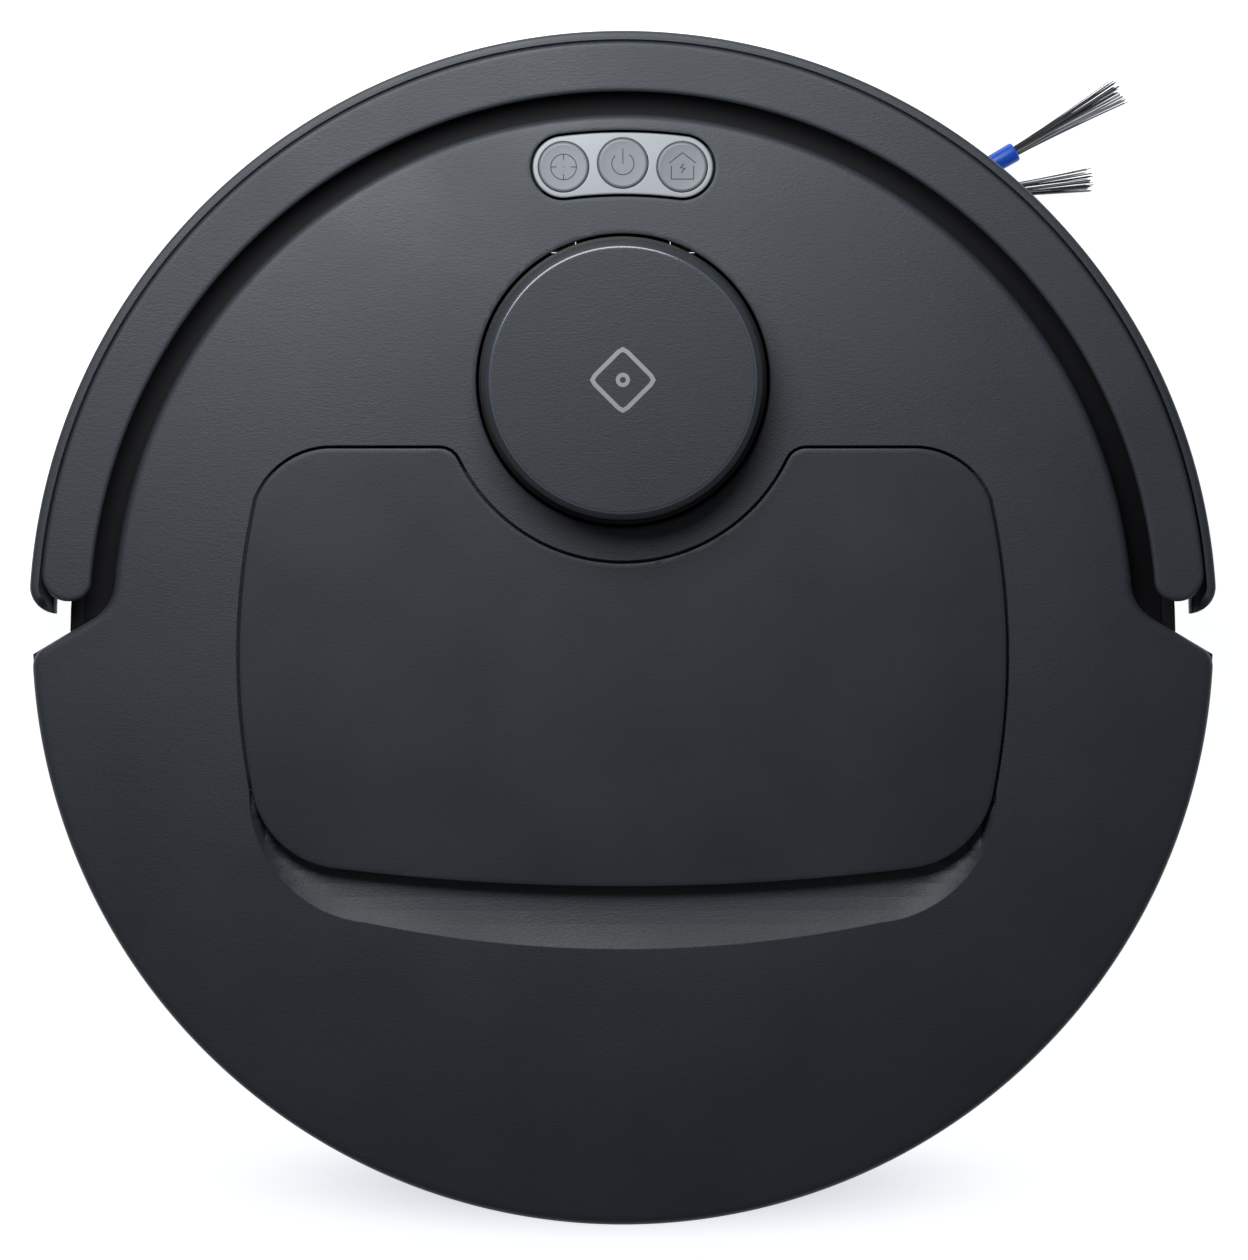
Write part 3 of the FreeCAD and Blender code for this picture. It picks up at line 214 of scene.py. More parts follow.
def start(bm, points, closed=True):
    """A run of edges whose corners remember their number."""
    number = bm.verts.layers.int.get("number") or bm.verts.layers.int.new("number")
    corners = []
    for index, point in enumerate(points):
        corner = bm.verts.new(Vector(point) * MM)
        corner[number] = index
        corners.append(corner)
    first = 0 if closed else 1
    return [bm.edges.new((corners[i - 1], corners[i])) for i in range(first, len(corners))]


def grow(bm, edges, points):
    """Pull a run of edges to its next row of points and leave a band of faces behind."""
    number = bm.verts.layers.int["number"]
    pulled = bmesh.ops.extrude_edge_only(bm, edges=edges)["geom"]
    fresh = {item for item in pulled if isinstance(item, bmesh.types.BMVert)}
    for corner in fresh:
        corner.co = Vector(points[corner[number]]) * MM
    return [item for item in pulled if isinstance(item, bmesh.types.BMEdge)
            and item.verts[0] in fresh and item.verts[1] in fresh]


def grow_profile(bm, edges, points, profile):
    """Pull an outline through (distance outwards, height) steps."""
    for distance, height in profile:
        edges = grow(bm, edges, lift(offset(points, distance), height))
    return edges


def round_steps(radius, top, edge=0.0, count=5):
    """(distance, height) steps of a quarter round that ends at an edge."""
    steps = []
    for index in range(1, count + 1):
        angle = math.radians(90 * index / count)
        steps.append((edge - radius * (1 - math.sin(angle)), top - radius * (1 - math.cos(angle))))
    return steps


def fill(bm, *rings):
    """Close one ring of edges, with any others left as holes in it."""
    made = bmesh.ops.triangle_fill(bm, use_beauty=True, use_dissolve=False,
                                   edges=[edge for ring in rings for edge in ring])
    return [item for item in made["geom"] if isinstance(item, bmesh.types.BMFace)]


def score(bm, spots, normal):
    """Cut the faces along parallel planes, so that they can bend there."""
    for spot in spots:
        bmesh.ops.bisect_plane(bm, geom=bm.verts[:] + bm.edges[:] + bm.faces[:], dist=1e-7,
                               plane_co=Vector(normal) * spot * MM, plane_no=normal)


def score_grid(bm, low, high, pitch):
    """Cut the faces along a grid, as wide as high[0] to each side and from low to high[1]."""
    for normal, start_at, end_at in (((1, 0, 0), -high[0], high[0]), ((0, 1, 0), low, high[1])):
        count = int((end_at - start_at) / pitch)
        score(bm, [start_at + pitch * (index + 0.5) + 0.13 for index in range(count)], normal)


def bend_to_dome(bm, foot=None):
    """Lower each point by the dome's drop, less towards the foot."""
    for corner in bm.verts:
        share = 1.0
        if foot is not None:
            share = min(max((corner.co.z / MM - foot) / (TOP - foot), 0.0), 1.0)
        corner.co.z -= dome_drop(corner.co.x / MM, corner.co.y / MM) * share * MM


def spin_line(bm, profile, centre=(0, 0), steps=96, angle=360, first=0, closed=False):
    """Turn a (radius, height) line about an upright axis."""
    turn = Matrix.Rotation(math.radians(first), 4, "Z")
    shift = Matrix.Translation((centre[0] * MM, centre[1] * MM, 0))
    corners = [bm.verts.new(shift @ turn @ Vector((r * MM, 0, z * MM))) for r, z in profile]
    edges = [bm.edges.new(pair) for pair in zip(corners, corners[1:])]
    if closed:
        edges.append(bm.edges.new((corners[-1], corners[0])))
    faces = []
    if closed and angle != 360:
        faces = [bm.faces.new(corners)]
    bmesh.ops.spin(bm, geom=corners + edges + faces, cent=(centre[0] * MM, centre[1] * MM, 0),
                   axis=(0, 0, 1), angle=math.radians(angle), steps=steps,
                   use_merge=angle == 360)


def finish(bm, name, body, material, replaces=(), sharp=32):
    """Turn a bmesh into a piece that rides on its body."""
    bmesh.ops.remove_doubles(bm, verts=bm.verts, dist=1e-6)
    bmesh.ops.dissolve_degenerate(bm, edges=bm.edges, dist=1e-6)
    bmesh.ops.recalc_face_normals(bm, faces=bm.faces)
    mesh = bpy.data.meshes.new(name)
    bm.to_mesh(mesh)
    bm.free()
    mesh.polygons.foreach_set("use_smooth", [True] * len(mesh.polygons))
    mesh.set_sharp_from_angle(angle=math.radians(sharp))
    piece = bpy.data.objects.new(name, mesh)
    bpy.context.scene.collection.objects.link(piece)
    mesh.materials.append(material)
    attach(piece, body)
    if replaces:
        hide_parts(*replaces)
    return piece


def ribbon(bm, points, width, height, closed=False, thick=0.05):
    """A thin raised line of a given width through plan points."""
    line = [Vector(point) for point in points]
    count = len(line)
    left, right = [], []
    for i, here in enumerate(line):
        before = line[i - 1] if closed or i else here
        after = line[(i + 1) % count] if closed or i < count - 1 else here
        first = (here - before).normalized() if before != here else (after - here).normalized()
        second = (after - here).normalized() if after != here else first
        way = (first + second).normalized()
        side = Vector((-way.y, way.x)) * width / 2 / max(0.5, way.dot(first))
        for row, sign in ((left, 1), (right, -1)):
            spot = here + side * sign
            row.append(bm.verts.new((spot.x * MM, spot.y * MM, height * MM)))
    faces = []
    for i in range(count if closed else count - 1):
        j = (i + 1) % count
        faces.append(bm.faces.new((left[i], right[i], right[j], left[j])))
    raised = bmesh.ops.extrude_face_region(bm, geom=faces, use_keep_orig=True)["geom"]
    bmesh.ops.translate(bm, vec=(0, 0, thick * MM),
                        verts=[item for item in raised if isinstance(item, bmesh.types.BMVert)])


# ---------------------------------------------------------------- materials

def tone(red, green, blue):
    """A paint chip's 0 to 255 numbers as the shader's linear colour."""
    linear = [(v / 255 / 12.92) if v / 255 <= 0.04045 else ((v / 255 + 0.055) / 1.055) ** 2.4
              for v in (red, green, blue)]
    return (*linear, 1.0)


def new_group(name, inputs, outputs):
    """A node group with named inputs and outputs, and its two end nodes."""
    group = bpy.data.node_groups.new(name, "ShaderNodeTree")
    for label, kind, default in inputs:
        socket = group.interface.new_socket(label, in_out="INPUT", socket_type=kind)
        socket.default_value = default
    for label, kind in outputs:
        group.interface.new_socket(label, in_out="OUTPUT", socket_type=kind)
    return group, group.nodes.new("NodeGroupInput"), group.nodes.new("NodeGroupOutput")


def make_surface_group():
    """Spark-eroded grain, a faint mottle and a patchy gloss, all from the piece's own place."""
    group, given, out = new_group(
        "moulded_surface",
        [("Color", "NodeSocketColor", (0.1, 0.1, 0.1, 1)), ("Mottle", "NodeSocketFloat", 0.06),
         ("Grain Scale", "NodeSocketFloat", 900.0), ("Grain Depth", "NodeSocketFloat", 0.3),
         ("Roughness", "NodeSocketFloat", 0.5), ("Gloss Spread", "NodeSocketFloat", 0.06)],
        [("Color", "NodeSocketColor"), ("Roughness", "NodeSocketFloat"),
         ("Normal", "NodeSocketVector"), ("Grain", "NodeSocketFloat")])
    link, nodes = group.links.new, group.nodes
    place = nodes.new("ShaderNodeTexCoord")
    stretch = nodes.new("ShaderNodeMapping")
    stretch.inputs["Scale"].default_value = (0.45, 1.0, 1.0)
    link(place.outputs["Object"], stretch.inputs["Vector"])
    coarse = nodes.new("ShaderNodeTexNoise")
    coarse.inputs["Detail"].default_value = 2.0
    coarse.inputs["Roughness"].default_value = 0.45
    coarse.inputs["Distortion"].default_value = 0.6
    link(stretch.outputs["Vector"], coarse.inputs["Vector"])
    link(given.outputs["Grain Scale"], coarse.inputs["Scale"])
    finer = nodes.new("ShaderNodeMath")
    finer.operation = "MULTIPLY"
    finer.inputs[1].default_value = 2.7
    link(given.outputs["Grain Scale"], finer.inputs[0])
    pits = nodes.new("ShaderNodeTexVoronoi")
    link(place.outputs["Object"], pits.inputs["Vector"])
    link(finer.outputs["Value"], pits.inputs["Scale"])
    height = nodes.new("ShaderNodeMath")
    height.operation = "MULTIPLY_ADD"
    height.inputs[1].default_value = 0.35
    link(pits.outputs["Distance"], height.inputs[0])
    link(coarse.outputs["Fac"], height.inputs[2])
    bump = nodes.new("ShaderNodeBump")
    bump.inputs["Distance"].default_value = 0.00025
    link(given.outputs["Grain Depth"], bump.inputs["Strength"])
    link(height.outputs["Value"], bump.inputs["Height"])
    cloud = nodes.new("ShaderNodeTexNoise")
    cloud.inputs["Scale"].default_value = 26.0
    cloud.inputs["Detail"].default_value = 3.0
    link(place.outputs["Object"], cloud.inputs["Vector"])
    shade = nodes.new("ShaderNodeMapRange")
    shade.inputs["From Min"].default_value = 0.3
    shade.inputs["From Max"].default_value = 0.7
    shade.inputs["To Min"].default_value = -1.0
    shade.inputs["To Max"].default_value = 1.0
    link(cloud.outputs["Fac"], shade.inputs["Value"])
    change = nodes.new("ShaderNodeMath")
    change.operation = "MULTIPLY_ADD"
    change.inputs[2].default_value = 1.0
    link(shade.outputs["Result"], change.inputs[0])
    link(given.outputs["Mottle"], change.inputs[1])
    tint = nodes.new("ShaderNodeVectorMath")
    tint.operation = "SCALE"
    link(given.outputs["Color"], tint.inputs[0])
    link(change.outputs["Value"], tint.inputs["Scale"])
    gloss = nodes.new("ShaderNodeMath")
    gloss.operation = "MULTIPLY_ADD"
    link(shade.outputs["Result"], gloss.inputs[0])
    link(given.outputs["Gloss Spread"], gloss.inputs[1])
    link(given.outputs["Roughness"], gloss.inputs[2])
    link(tint.outputs["Vector"], out.inputs["Color"])
    link(gloss.outputs["Value"], out.inputs["Roughness"])
    link(bump.outputs["Normal"], out.inputs["Normal"])
    link(height.outputs["Value"], out.inputs["Grain"])
    return group


SURFACE = make_surface_group()


def finish_of(name, colour, rough=0.5, depth=0.2, scale=900.0, mottle=0.05, spread=0.05, **extra):
    """A material with the moulded surface and its own colour, gloss and grain."""
    material = bpy.data.materials.new(name)
    material.use_nodes = True
    nodes, link = material.node_tree.nodes, material.node_tree.links.new
    shader = nodes["Principled BSDF"]
    surface = nodes.new("ShaderNodeGroup")
    surface.node_tree = SURFACE
    for label, amount in (("Color", colour), ("Mottle", mottle), ("Grain Scale", scale),
                          ("Grain Depth", depth), ("Roughness", rough), ("Gloss Spread", spread)):
        surface.inputs[label].default_value = amount
    link(surface.outputs["Color"], shader.inputs["Base Color"])
    link(surface.outputs["Roughness"], shader.inputs["Roughness"])
    link(surface.outputs["Normal"], shader.inputs["Normal"])
    for label, amount in extra.items():
        shader.inputs[label.replace("_", " ")].default_value = amount
    return material


PAINT = {
    "cover_grey": finish_of("cover_grey", tone(50, 56, 64), 0.5, 0.3, 1700.0),
    "bumper_grey": finish_of("bumper_grey", tone(50, 56, 64), 0.5, 0.3, 1700.0),
    "lid_grey": finish_of("lid_grey", tone(43, 48, 56), 0.48, 0.12, 1400.0),
    "turret_grey": finish_of("turret_grey", tone(41, 47, 55), 0.5, 0.28, 1700.0),
    "black_plastic": finish_of("black_plastic", tone(22, 23, 25), 0.52, 0.25),
    "dark_plastic": finish_of("dark_plastic", tone(34, 35, 38), 0.55, 0.22),
    "silver_paint": finish_of("silver_paint", tone(145, 151, 157), 0.46, 0.05, 2600.0, 0.02,
                              Metallic=0.2),
    "button_grey": finish_of("button_grey", tone(114, 120, 126), 0.46, 0.06, 2600.0, 0.02,
                             Metallic=0.2),
    "window_black": finish_of("window_black", tone(12, 12, 14), 0.12, 0.02, 600.0, 0.02, 0.02,
                              Coat_Weight=0.4),
    "smoke_bin": finish_of("smoke_bin", tone(92, 96, 104), 0.16, 0.04, 500.0, 0.03, 0.03,
                           Transmission_Weight=0.55),
    "filter_white": finish_of("filter_white", tone(214, 212, 204), 0.85, 0.5, 2200.0, 0.06),
    "tyre_rubber": finish_of("tyre_rubber", tone(30, 30, 31), 0.72, 0.5, 1600.0, 0.12),
    "blade_rubber": finish_of("blade_rubber", tone(58, 62, 70), 0.6, 0.3, 1500.0, 0.1),
    "blue_sleeve": finish_of("blue_sleeve", tone(16, 90, 212), 0.38, 0.12, 1500.0, 0.05),
    "bristle": finish_of("bristle", tone(34, 36, 40), 0.42, 0.1, 3000.0, 0.2),
    "steel": finish_of("steel", tone(186, 188, 192), 0.28, 0.12, 2500.0, 0.04, Metallic=1.0),
    "contact_metal": finish_of("contact_metal", tone(214, 200, 160), 0.25, 0.1, 2500.0, 0.05,
                               Metallic=1.0),
    "board_green": finish_of("board_green", tone(24, 84, 52), 0.45, 0.15, 900.0, 0.15),
    "battery_wrap": finish_of("battery_wrap", tone(40, 64, 120), 0.4, 0.08, 400.0, 0.06),
    "lens_dark": finish_of("lens_dark", tone(16, 12, 18), 0.08, 0.02, 500.0, 0.02, 0.02,
                           Coat_Weight=0.6),
}
ICON_INK = finish_of("icon_ink", tone(34, 36, 39), 0.5, 0.1, 2600.0, 0.05)
MARK_INK = finish_of("mark_ink", tone(150, 154, 160), 0.45, 0.05, 2600.0, 0.03, Metallic=0.2)
PALE_FIBRE = finish_of("pale_fibre", tone(122, 126, 132), 0.4, 0.1, 3000.0, 0.2)
# Glossy, and lighter than the turret's grey: the lighter colour is a painted highlight on the thin
# edge facet.
GLOSSY_EDGE_PAINTED_HIGHLIGHT = finish_of("glossy_edge_painted_highlight", tone(74, 80, 88), 0.2, 0.02, Specular_IOR_Level=1.0)
# Darker than the cover's grey: painted shade for the groove between bumper and cover. The low
# specular level keeps the lamp's reflection off it.
GROOVE_PAINTED_SHADE = finish_of("groove_painted_shade", tone(27, 28, 31), 0.8, 0.15, Specular_IOR_Level=0.2)

for row in frame["record"]["subparts"]:
    part = frame["nodes"][row["node"]]
    part.data.materials.clear()
    # The front deck takes the groove's painted-shade material instead of its own slot's paint.
    part.data.materials.append(
        GROOVE_PAINTED_SHADE if row["node"] == "front_deck" else PAINT[row["material_slot"]])


# ---------------------------------------------------------------- top cover and lid

def nearest(point, line):
    """Distance from a plan point to a run of plan points."""
    best = 1e9
    for (ax, ay), (bx, by) in zip(line, line[1:]):
        dx, dy = bx - ax, by - ay
        along = ((point[0] - ax) * dx + (point[1] - ay) * dy) / (dx * dx + dy * dy + 1e-12)
        along = min(max(along, 0.0), 1.0)
        best = min(best, math.hypot(point[0] - ax - dx * along, point[1] - ay - dy * along))
    return best


def inside(point, ring):
    """Whether a plan point lies inside a closed outline."""
    x, y = point
    odd = False
    for (ax, ay), (bx, by) in zip(ring, ring[1:] + ring[:1]):
        if (ay > y) != (by > y) and x < (bx - ax) * (y - ay) / (by - ay) + ax:
            odd = not odd
    return odd


def smooth(value):
    """A soft step from 0 to 1."""
    value = min(max(value, 0.0), 1.0)
    return value * value * (3 - 2 * value)


LID = lid_outline()


def scoop_line():
    """The scoop's outer edge, from the right side of the lid round behind it to the left."""
    return outline([(-110.5, LID_REAR_Y), (110.5, LID_REAR_Y), (76, -85.4, -38),
                    (-76, -85.4, -372), (-110.5, LID_REAR_Y, -38)], 1.6)


def lid_recess_outline():
    """The recess's edge in two runs: along the lid's seam, then along the scoop."""
    seam = offset(LID, SEAM_GAP)
    count = len(seam)
    first = next(i for i in range(count)
                 if seam[i - 1][1] <= LID_REAR_Y < seam[i][1] and seam[i][0] < 0)
    front = [seam[(first + i) % count] for i in range(count)]
    front = [point for point in front if point[1] > LID_REAR_Y + 0.3]
    line = scoop_line()
    edge = next(i for i, point in enumerate(line) if point[0] > 110.4)
    return front, line[edge:]


FRONT_SEAM, SCOOP = lid_recess_outline()
LID_REAR = [point for point in LID if point[1] < LID_REAR_Y + 1.5]


def floor_depth(x, y):
    """Depth of the hollow under and behind the lid."""
    if y > HINGE_Y - 1.5 or (y > HINGE_Y - 4.5 and HINGE_OUT - 5 < abs(x) < HINGE_OUT + 5):
        return TROUGH_DEEP
    to_lip = nearest((x, y), SCOOP)
    if y > -40:
        return FLOOR_DEEP
    to_lid = nearest((x, y), LID_REAR)
    if inside((x, y), LID):
        return SCOOP_DEEP - (SCOOP_DEEP - FLOOR_DEEP) * smooth((to_lid - 0.5) / 3.5)
    share = to_lip / (to_lip + to_lid + 1e-6)
    deep = LIP_DEEP + (SCOOP_DEEP - LIP_DEEP) * share * (2 - share)
    return min(deep, FLOOR_DEEP) if y > LID_REAR_Y else deep


def make_cover():
    """The domed top with its turret well, button slot, lid recess, scoop and hinge lugs."""
    bm = bmesh.new()
    plan = cover_outline()
    rim = start(bm, lift(offset(plan, -3.4), TOP))
    grow_profile(bm, rim, plan, [(-COVER_ROUND, TOP)] + round_steps(
        COVER_ROUND, TOP, count=6) + [
        (0, SEAM + 0.7), (-0.5, SEAM + 0.15), (-2.6, SEAM + 0.15), (-2.6, TOP - 6)])
    well = circle((0, TURRET_Y), WELL_R)
    well_edge = start(bm, lift(offset(well, 1.6), TOP))
    grow_profile(bm, well_edge, well, [(0.6, TOP), (0.18, TOP - 0.18), (0, TOP - 0.6),
                                       (0, TOP - 12)])
    slot = strip_outline(PLATE_HALF + PLATE_GAP)
    slot_edge = start(bm, lift(offset(slot, 1.2), TOP))
    grow_profile(bm, slot_edge, slot, [(0.4, TOP), (0.12, TOP - 0.12), (0, TOP - 0.4),
                                       (0, TOP - 4)])
    hole = FRONT_SEAM + SCOOP
    hole_edge = start(bm, lift(offset(hole, 1.1), TOP))
    flat = grow(bm, hole_edge, lift(offset(hole, 0.2), TOP))
    lip = grow(bm, flat, lift(hole, TOP - 0.2))
    foot = grow(bm, lip, lift(hole, lambda x, y: TOP - max(floor_depth(x, y), LIP_DEEP)))
    fill(bm, rim, well_edge, slot_edge, hole_edge)
    half, front, rear, turn = 83.5, 14.5, -65.5, 8.5
    bay = outline([(half - turn, front), (half, front - turn, -turn), (half, rear + turn),
                   (half - turn, rear, -turn), (turn - half, rear), (-half, rear + turn, -turn),
                   (-half, front - turn), (turn - half, front, -turn)], 2)
    bay_edge = start(bm, lift(bay, TOP - FLOOR_DEEP))
    grow(bm, bay_edge, lift(bay, TOP - 6.6))
    for face in fill(bm, foot, bay_edge):
        face.material_index = 1
    score_grid(bm, -172, (172, 150), 4.0)
    score(bm, [*range(-66, -90, -4), HINGE_Y - 4.5, HINGE_Y - 4.4, HINGE_Y - 1.55,
               HINGE_Y - 1.45], (0, 1, 0))
    score(bm, [side * (HINGE_OUT + end) for side in (-1, 1) for end in (-5, 5)], (1, 0, 0))
    for corner in bm.verts:
        if any(face.material_index == 1 for face in corner.link_faces) and \
                not any(abs(edge.verts[0].co.z - edge.verts[1].co.z) > 1e-4
                        for edge in corner.link_edges if len(edge.link_faces) == 1):
            x, y = corner.co.x / MM, corner.co.y / MM
            corner.co.z = (TOP - max(floor_depth(x, y), LIP_DEEP)) * MM
    bend_to_dome(bm, SEAM)
    for side in (-1, 1):
        for end in (-3.9, 3.9):
            made = bmesh.ops.create_cube(bm, size=1.0)["verts"]
            bmesh.ops.scale(bm, vec=Vector((2.0, 1.3, 5.6)) * MM, verts=made)
            bmesh.ops.translate(bm, verts=made, vec=Vector((
                side * HINGE_OUT + end, HINGE_Y - 1.05, 71.2)) * MM)
    for face in bm.faces:
        face.material_index = 0
    bmesh.ops.remove_doubles(bm, verts=bm.verts, dist=2e-5)
    return finish(bm, "cover_shell", "body", PAINT["cover_grey"], ["top_cover"])


def make_lid():
    """The lid's panel with its two hinge knuckles."""
    bm = bmesh.new()
    rim = start(bm, lift(offset(LID, -1.6), TOP))
    foot = grow_profile(bm, rim, LID, [(-0.35, TOP)] + round_steps(0.35, TOP, count=3) + [
        (0, TOP - LID_THICK + 0.2), (-0.2, TOP - LID_THICK)])
    fill(bm, rim)
    fill(bm, foot)
    score_grid(bm, -74, (112, 54), 5.0)
    bend_to_dome(bm)
    for side in (-1, 1):
        bmesh.ops.create_cone(
            bm, cap_ends=True, segments=28, radius1=KNUCKLE_R * MM, radius2=KNUCKLE_R * MM,
            depth=KNUCKLE_LONG * MM,
            matrix=Matrix.Translation(Vector((side * HINGE_OUT, HINGE_Y, HINGE_Z)) * MM)
            @ Matrix.Rotation(math.pi / 2, 4, "Y"))
    return finish(bm, "lid_panel", "lid", PAINT["lid_grey"], ["lid"])


# ---------------------------------------------------------------- turret

def make_turret():
    """The turret's cap on its three posts and foot ring, and a plain diamond on top."""
    bm = bmesh.new()
    centre = (0, TURRET_Y)
    in_r, high, low = 37.9, TURRET_TOP, CAP_LOW
    edge_in, edge_out = 39.15, 39.65
    spin_line(bm, [(0, high), (30, high), (38.6, high), (edge_in, high), (edge_out, 93.81),
                   (41.0, 92.6), (41.3, 92.2), (TURRET_R, 91.7), (TURRET_R, low + 0.3),
                   (41.1, low), (in_r, low), (30, low), (0, low)], centre, steps=144)
    foot = [(in_r, 78.6), (41.1, 78.6), (TURRET_R, 78.9), (TURRET_R, 80.3), (41.1, 80.6),
            (in_r, 80.6)]
    post = [(in_r, 80.5), (41.3, 80.5), (41.3, low + 0.1), (in_r, low + 0.1)]
    spin_line(bm, foot, centre, 144, 360, 0, closed=True)
    for first in (82, 202, 322):
        spin_line(bm, post, centre, 8, 16, first, closed=True)
    cap = finish(bm, "turret_top", "turret_cap", PAINT["turret_grey"],
                 ["turret_cap"])
    # The thin facet at the cap's top edge gets the lighter, glossy material: a painted highlight
    # line.
    cap.data.materials.append(GLOSSY_EDGE_PAINTED_HIGHLIGHT)
    for face in cap.data.polygons:
        out = math.hypot(face.center.x, face.center.y - TURRET_Y * MM) / MM
        if edge_in < out < edge_out and face.center.z > (TURRET_TOP - 0.5) * MM:
            face.material_index = 1
    bm = bmesh.new()
    half = 9.6
    corners = [(0, TURRET_Y + half), (half, TURRET_Y), (0, TURRET_Y - half), (-half, TURRET_Y)]
    line = []
    for index, (x, y) in enumerate(corners):
        ox, oy = corners[(index + 1) % 4]
        for part in (0.14, 0.3, 0.5, 0.7, 0.86):
            line.append((x + (ox - x) * part, y + (oy - y) * part))
        line.append((ox * 0.94, TURRET_Y + (oy - TURRET_Y) * 0.94))
    ribbon(bm, line, 1.3, TURRET_TOP, closed=True)
    ribbon(bm, circle((0, TURRET_Y), 1.5, 0.4), 1.2, TURRET_TOP, closed=True)
    finish(bm, "turret_mark", "turret_cap", MARK_INK)


# ---------------------------------------------------------------- buttons

def make_buttons():
    """The silver strip and its three caps, each with a plain sign on it."""
    bm = bmesh.new()
    plan = strip_outline(PLATE_HALF)
    rim = start(bm, lift(offset(plan, -0.75), TOP + 0.05))
    foot = grow_profile(bm, rim, plan, [(-0.45, TOP + 0.05)] + round_steps(
        0.45, TOP + 0.05, count=4) + [(0, TOP - 2)])
    holes, hole_feet = [], []
    for side in (-1, 0, 1):
        hole = circle(button_spot(side), BUTTON_R + 0.12, 0.8)
        edge = start(bm, lift(offset(hole, 0.3), TOP + 0.05))
        holes.append(edge)
        hole_feet.append(grow_profile(bm, edge, hole, [(0.1, TOP + 0.05), (0.03, TOP + 0.02),
                                                       (0, TOP - 0.1), (0, TOP - 2)]))
    fill(bm, rim, *holes)
    fill(bm, foot, *hole_feet)
    bend_to_dome(bm)
    finish(bm, "button_strip", "body", PAINT["silver_paint"], ["button_plate"])

    bolt = [(0.5, 1.0), (-0.5, -0.2), (0.8, -0.45), (-0.3, -1.85)]
    icons = {
        "spot_button": [(circle((0, 0), 3.8, 0.5), True), ([(0, 3.8), (0, 2.1)], False),
                        ([(0, -3.8), (0, -2.1)], False), ([(3.8, 0), (2.1, 0)], False),
                        ([(-3.8, 0), (-2.1, 0)], False), ([(-0.13, 0), (0.13, 0)], False)],
        "power_button": [(arc((0, -0.15), 3.27, 125, 415, 0.5), False),
                         ([(0, 4.4), (0, -0.1)], False)],
        "dock_button": [([(-3.85, 1.15), (0.1, 4.25), (4.05, 1.15)], False),
                        ([(-3.2, 0.35), (-3.2, -3.6), (3.4, -3.6), (3.4, 0.35)], False),
                        (bolt, False)],
    }
    for side, (name, lines) in zip((-1, 0, 1), icons.items()):
        x, y = button_spot(side)
        bm = bmesh.new()
        crown = TOP + BUTTON_RISE
        spin_line(bm, [(0, crown - 0.16), (3, crown - 0.15), (5.6, crown - 0.1),
                       (6.5, crown - 0.02), (6.75, crown), (7.2, crown - 0.17),
                       (7.42, crown - 0.42), (BUTTON_R, crown - 0.7), (BUTTON_R, crown - 6),
                       (6.5, crown - 6), (0, crown - 6)], (x, y), steps=64)
        bend_to_dome(bm)
        finish(bm, name + "_cap", name, PAINT["button_grey"], [name])
        bm = bmesh.new()
        for line, closed in lines:
            ribbon(bm, [(x + u, y + v) for u, v in line], 0.3, crown - 0.15, closed)
        bend_to_dome(bm)
        finish(bm, name + "_icon", name, ICON_INK)


# ---------------------------------------------------------------- bumper

def bumper_outline(outer, inner, back=0.0, round_out=8.0, round_in=6.0):
    """The bumper in plan: outer arc, rounded slanted ends, inner arc."""
    ahead = BUMPER_GAP - back
    lean = -(90 + math.degrees(SHOULDER[2]))
    far = line_meets_circle(ahead + round_out, SHIFT, outer - round_out)
    near = line_meets_circle(ahead + round_in, SHIFT, inner + round_in)
    to_far = math.degrees(math.atan2(far.y - SHIFT, far.x))
    to_near = math.degrees(math.atan2(near.y - SHIFT, near.x))
    right = [(0.0, outer + SHIFT)]
    right += arc((0, SHIFT), outer, 90, to_far)
    right += arc(far, round_out, to_far, lean, 0.8)
    right += arc(near, round_in, lean, to_near - 180, 0.8)
    right += arc((0, SHIFT), inner, to_near, 90)
    return mirrored(right)


def clear_of_wall(points, radius):
    """The inner side moved out, so that the pressed bumper misses what is behind it."""
    moved = []
    for x, y in points:
        share = max(radius / math.hypot(x, y - SHIFT), 1.0)
        moved.append((x * share, SHIFT + (y - SHIFT) * share))
    return moved


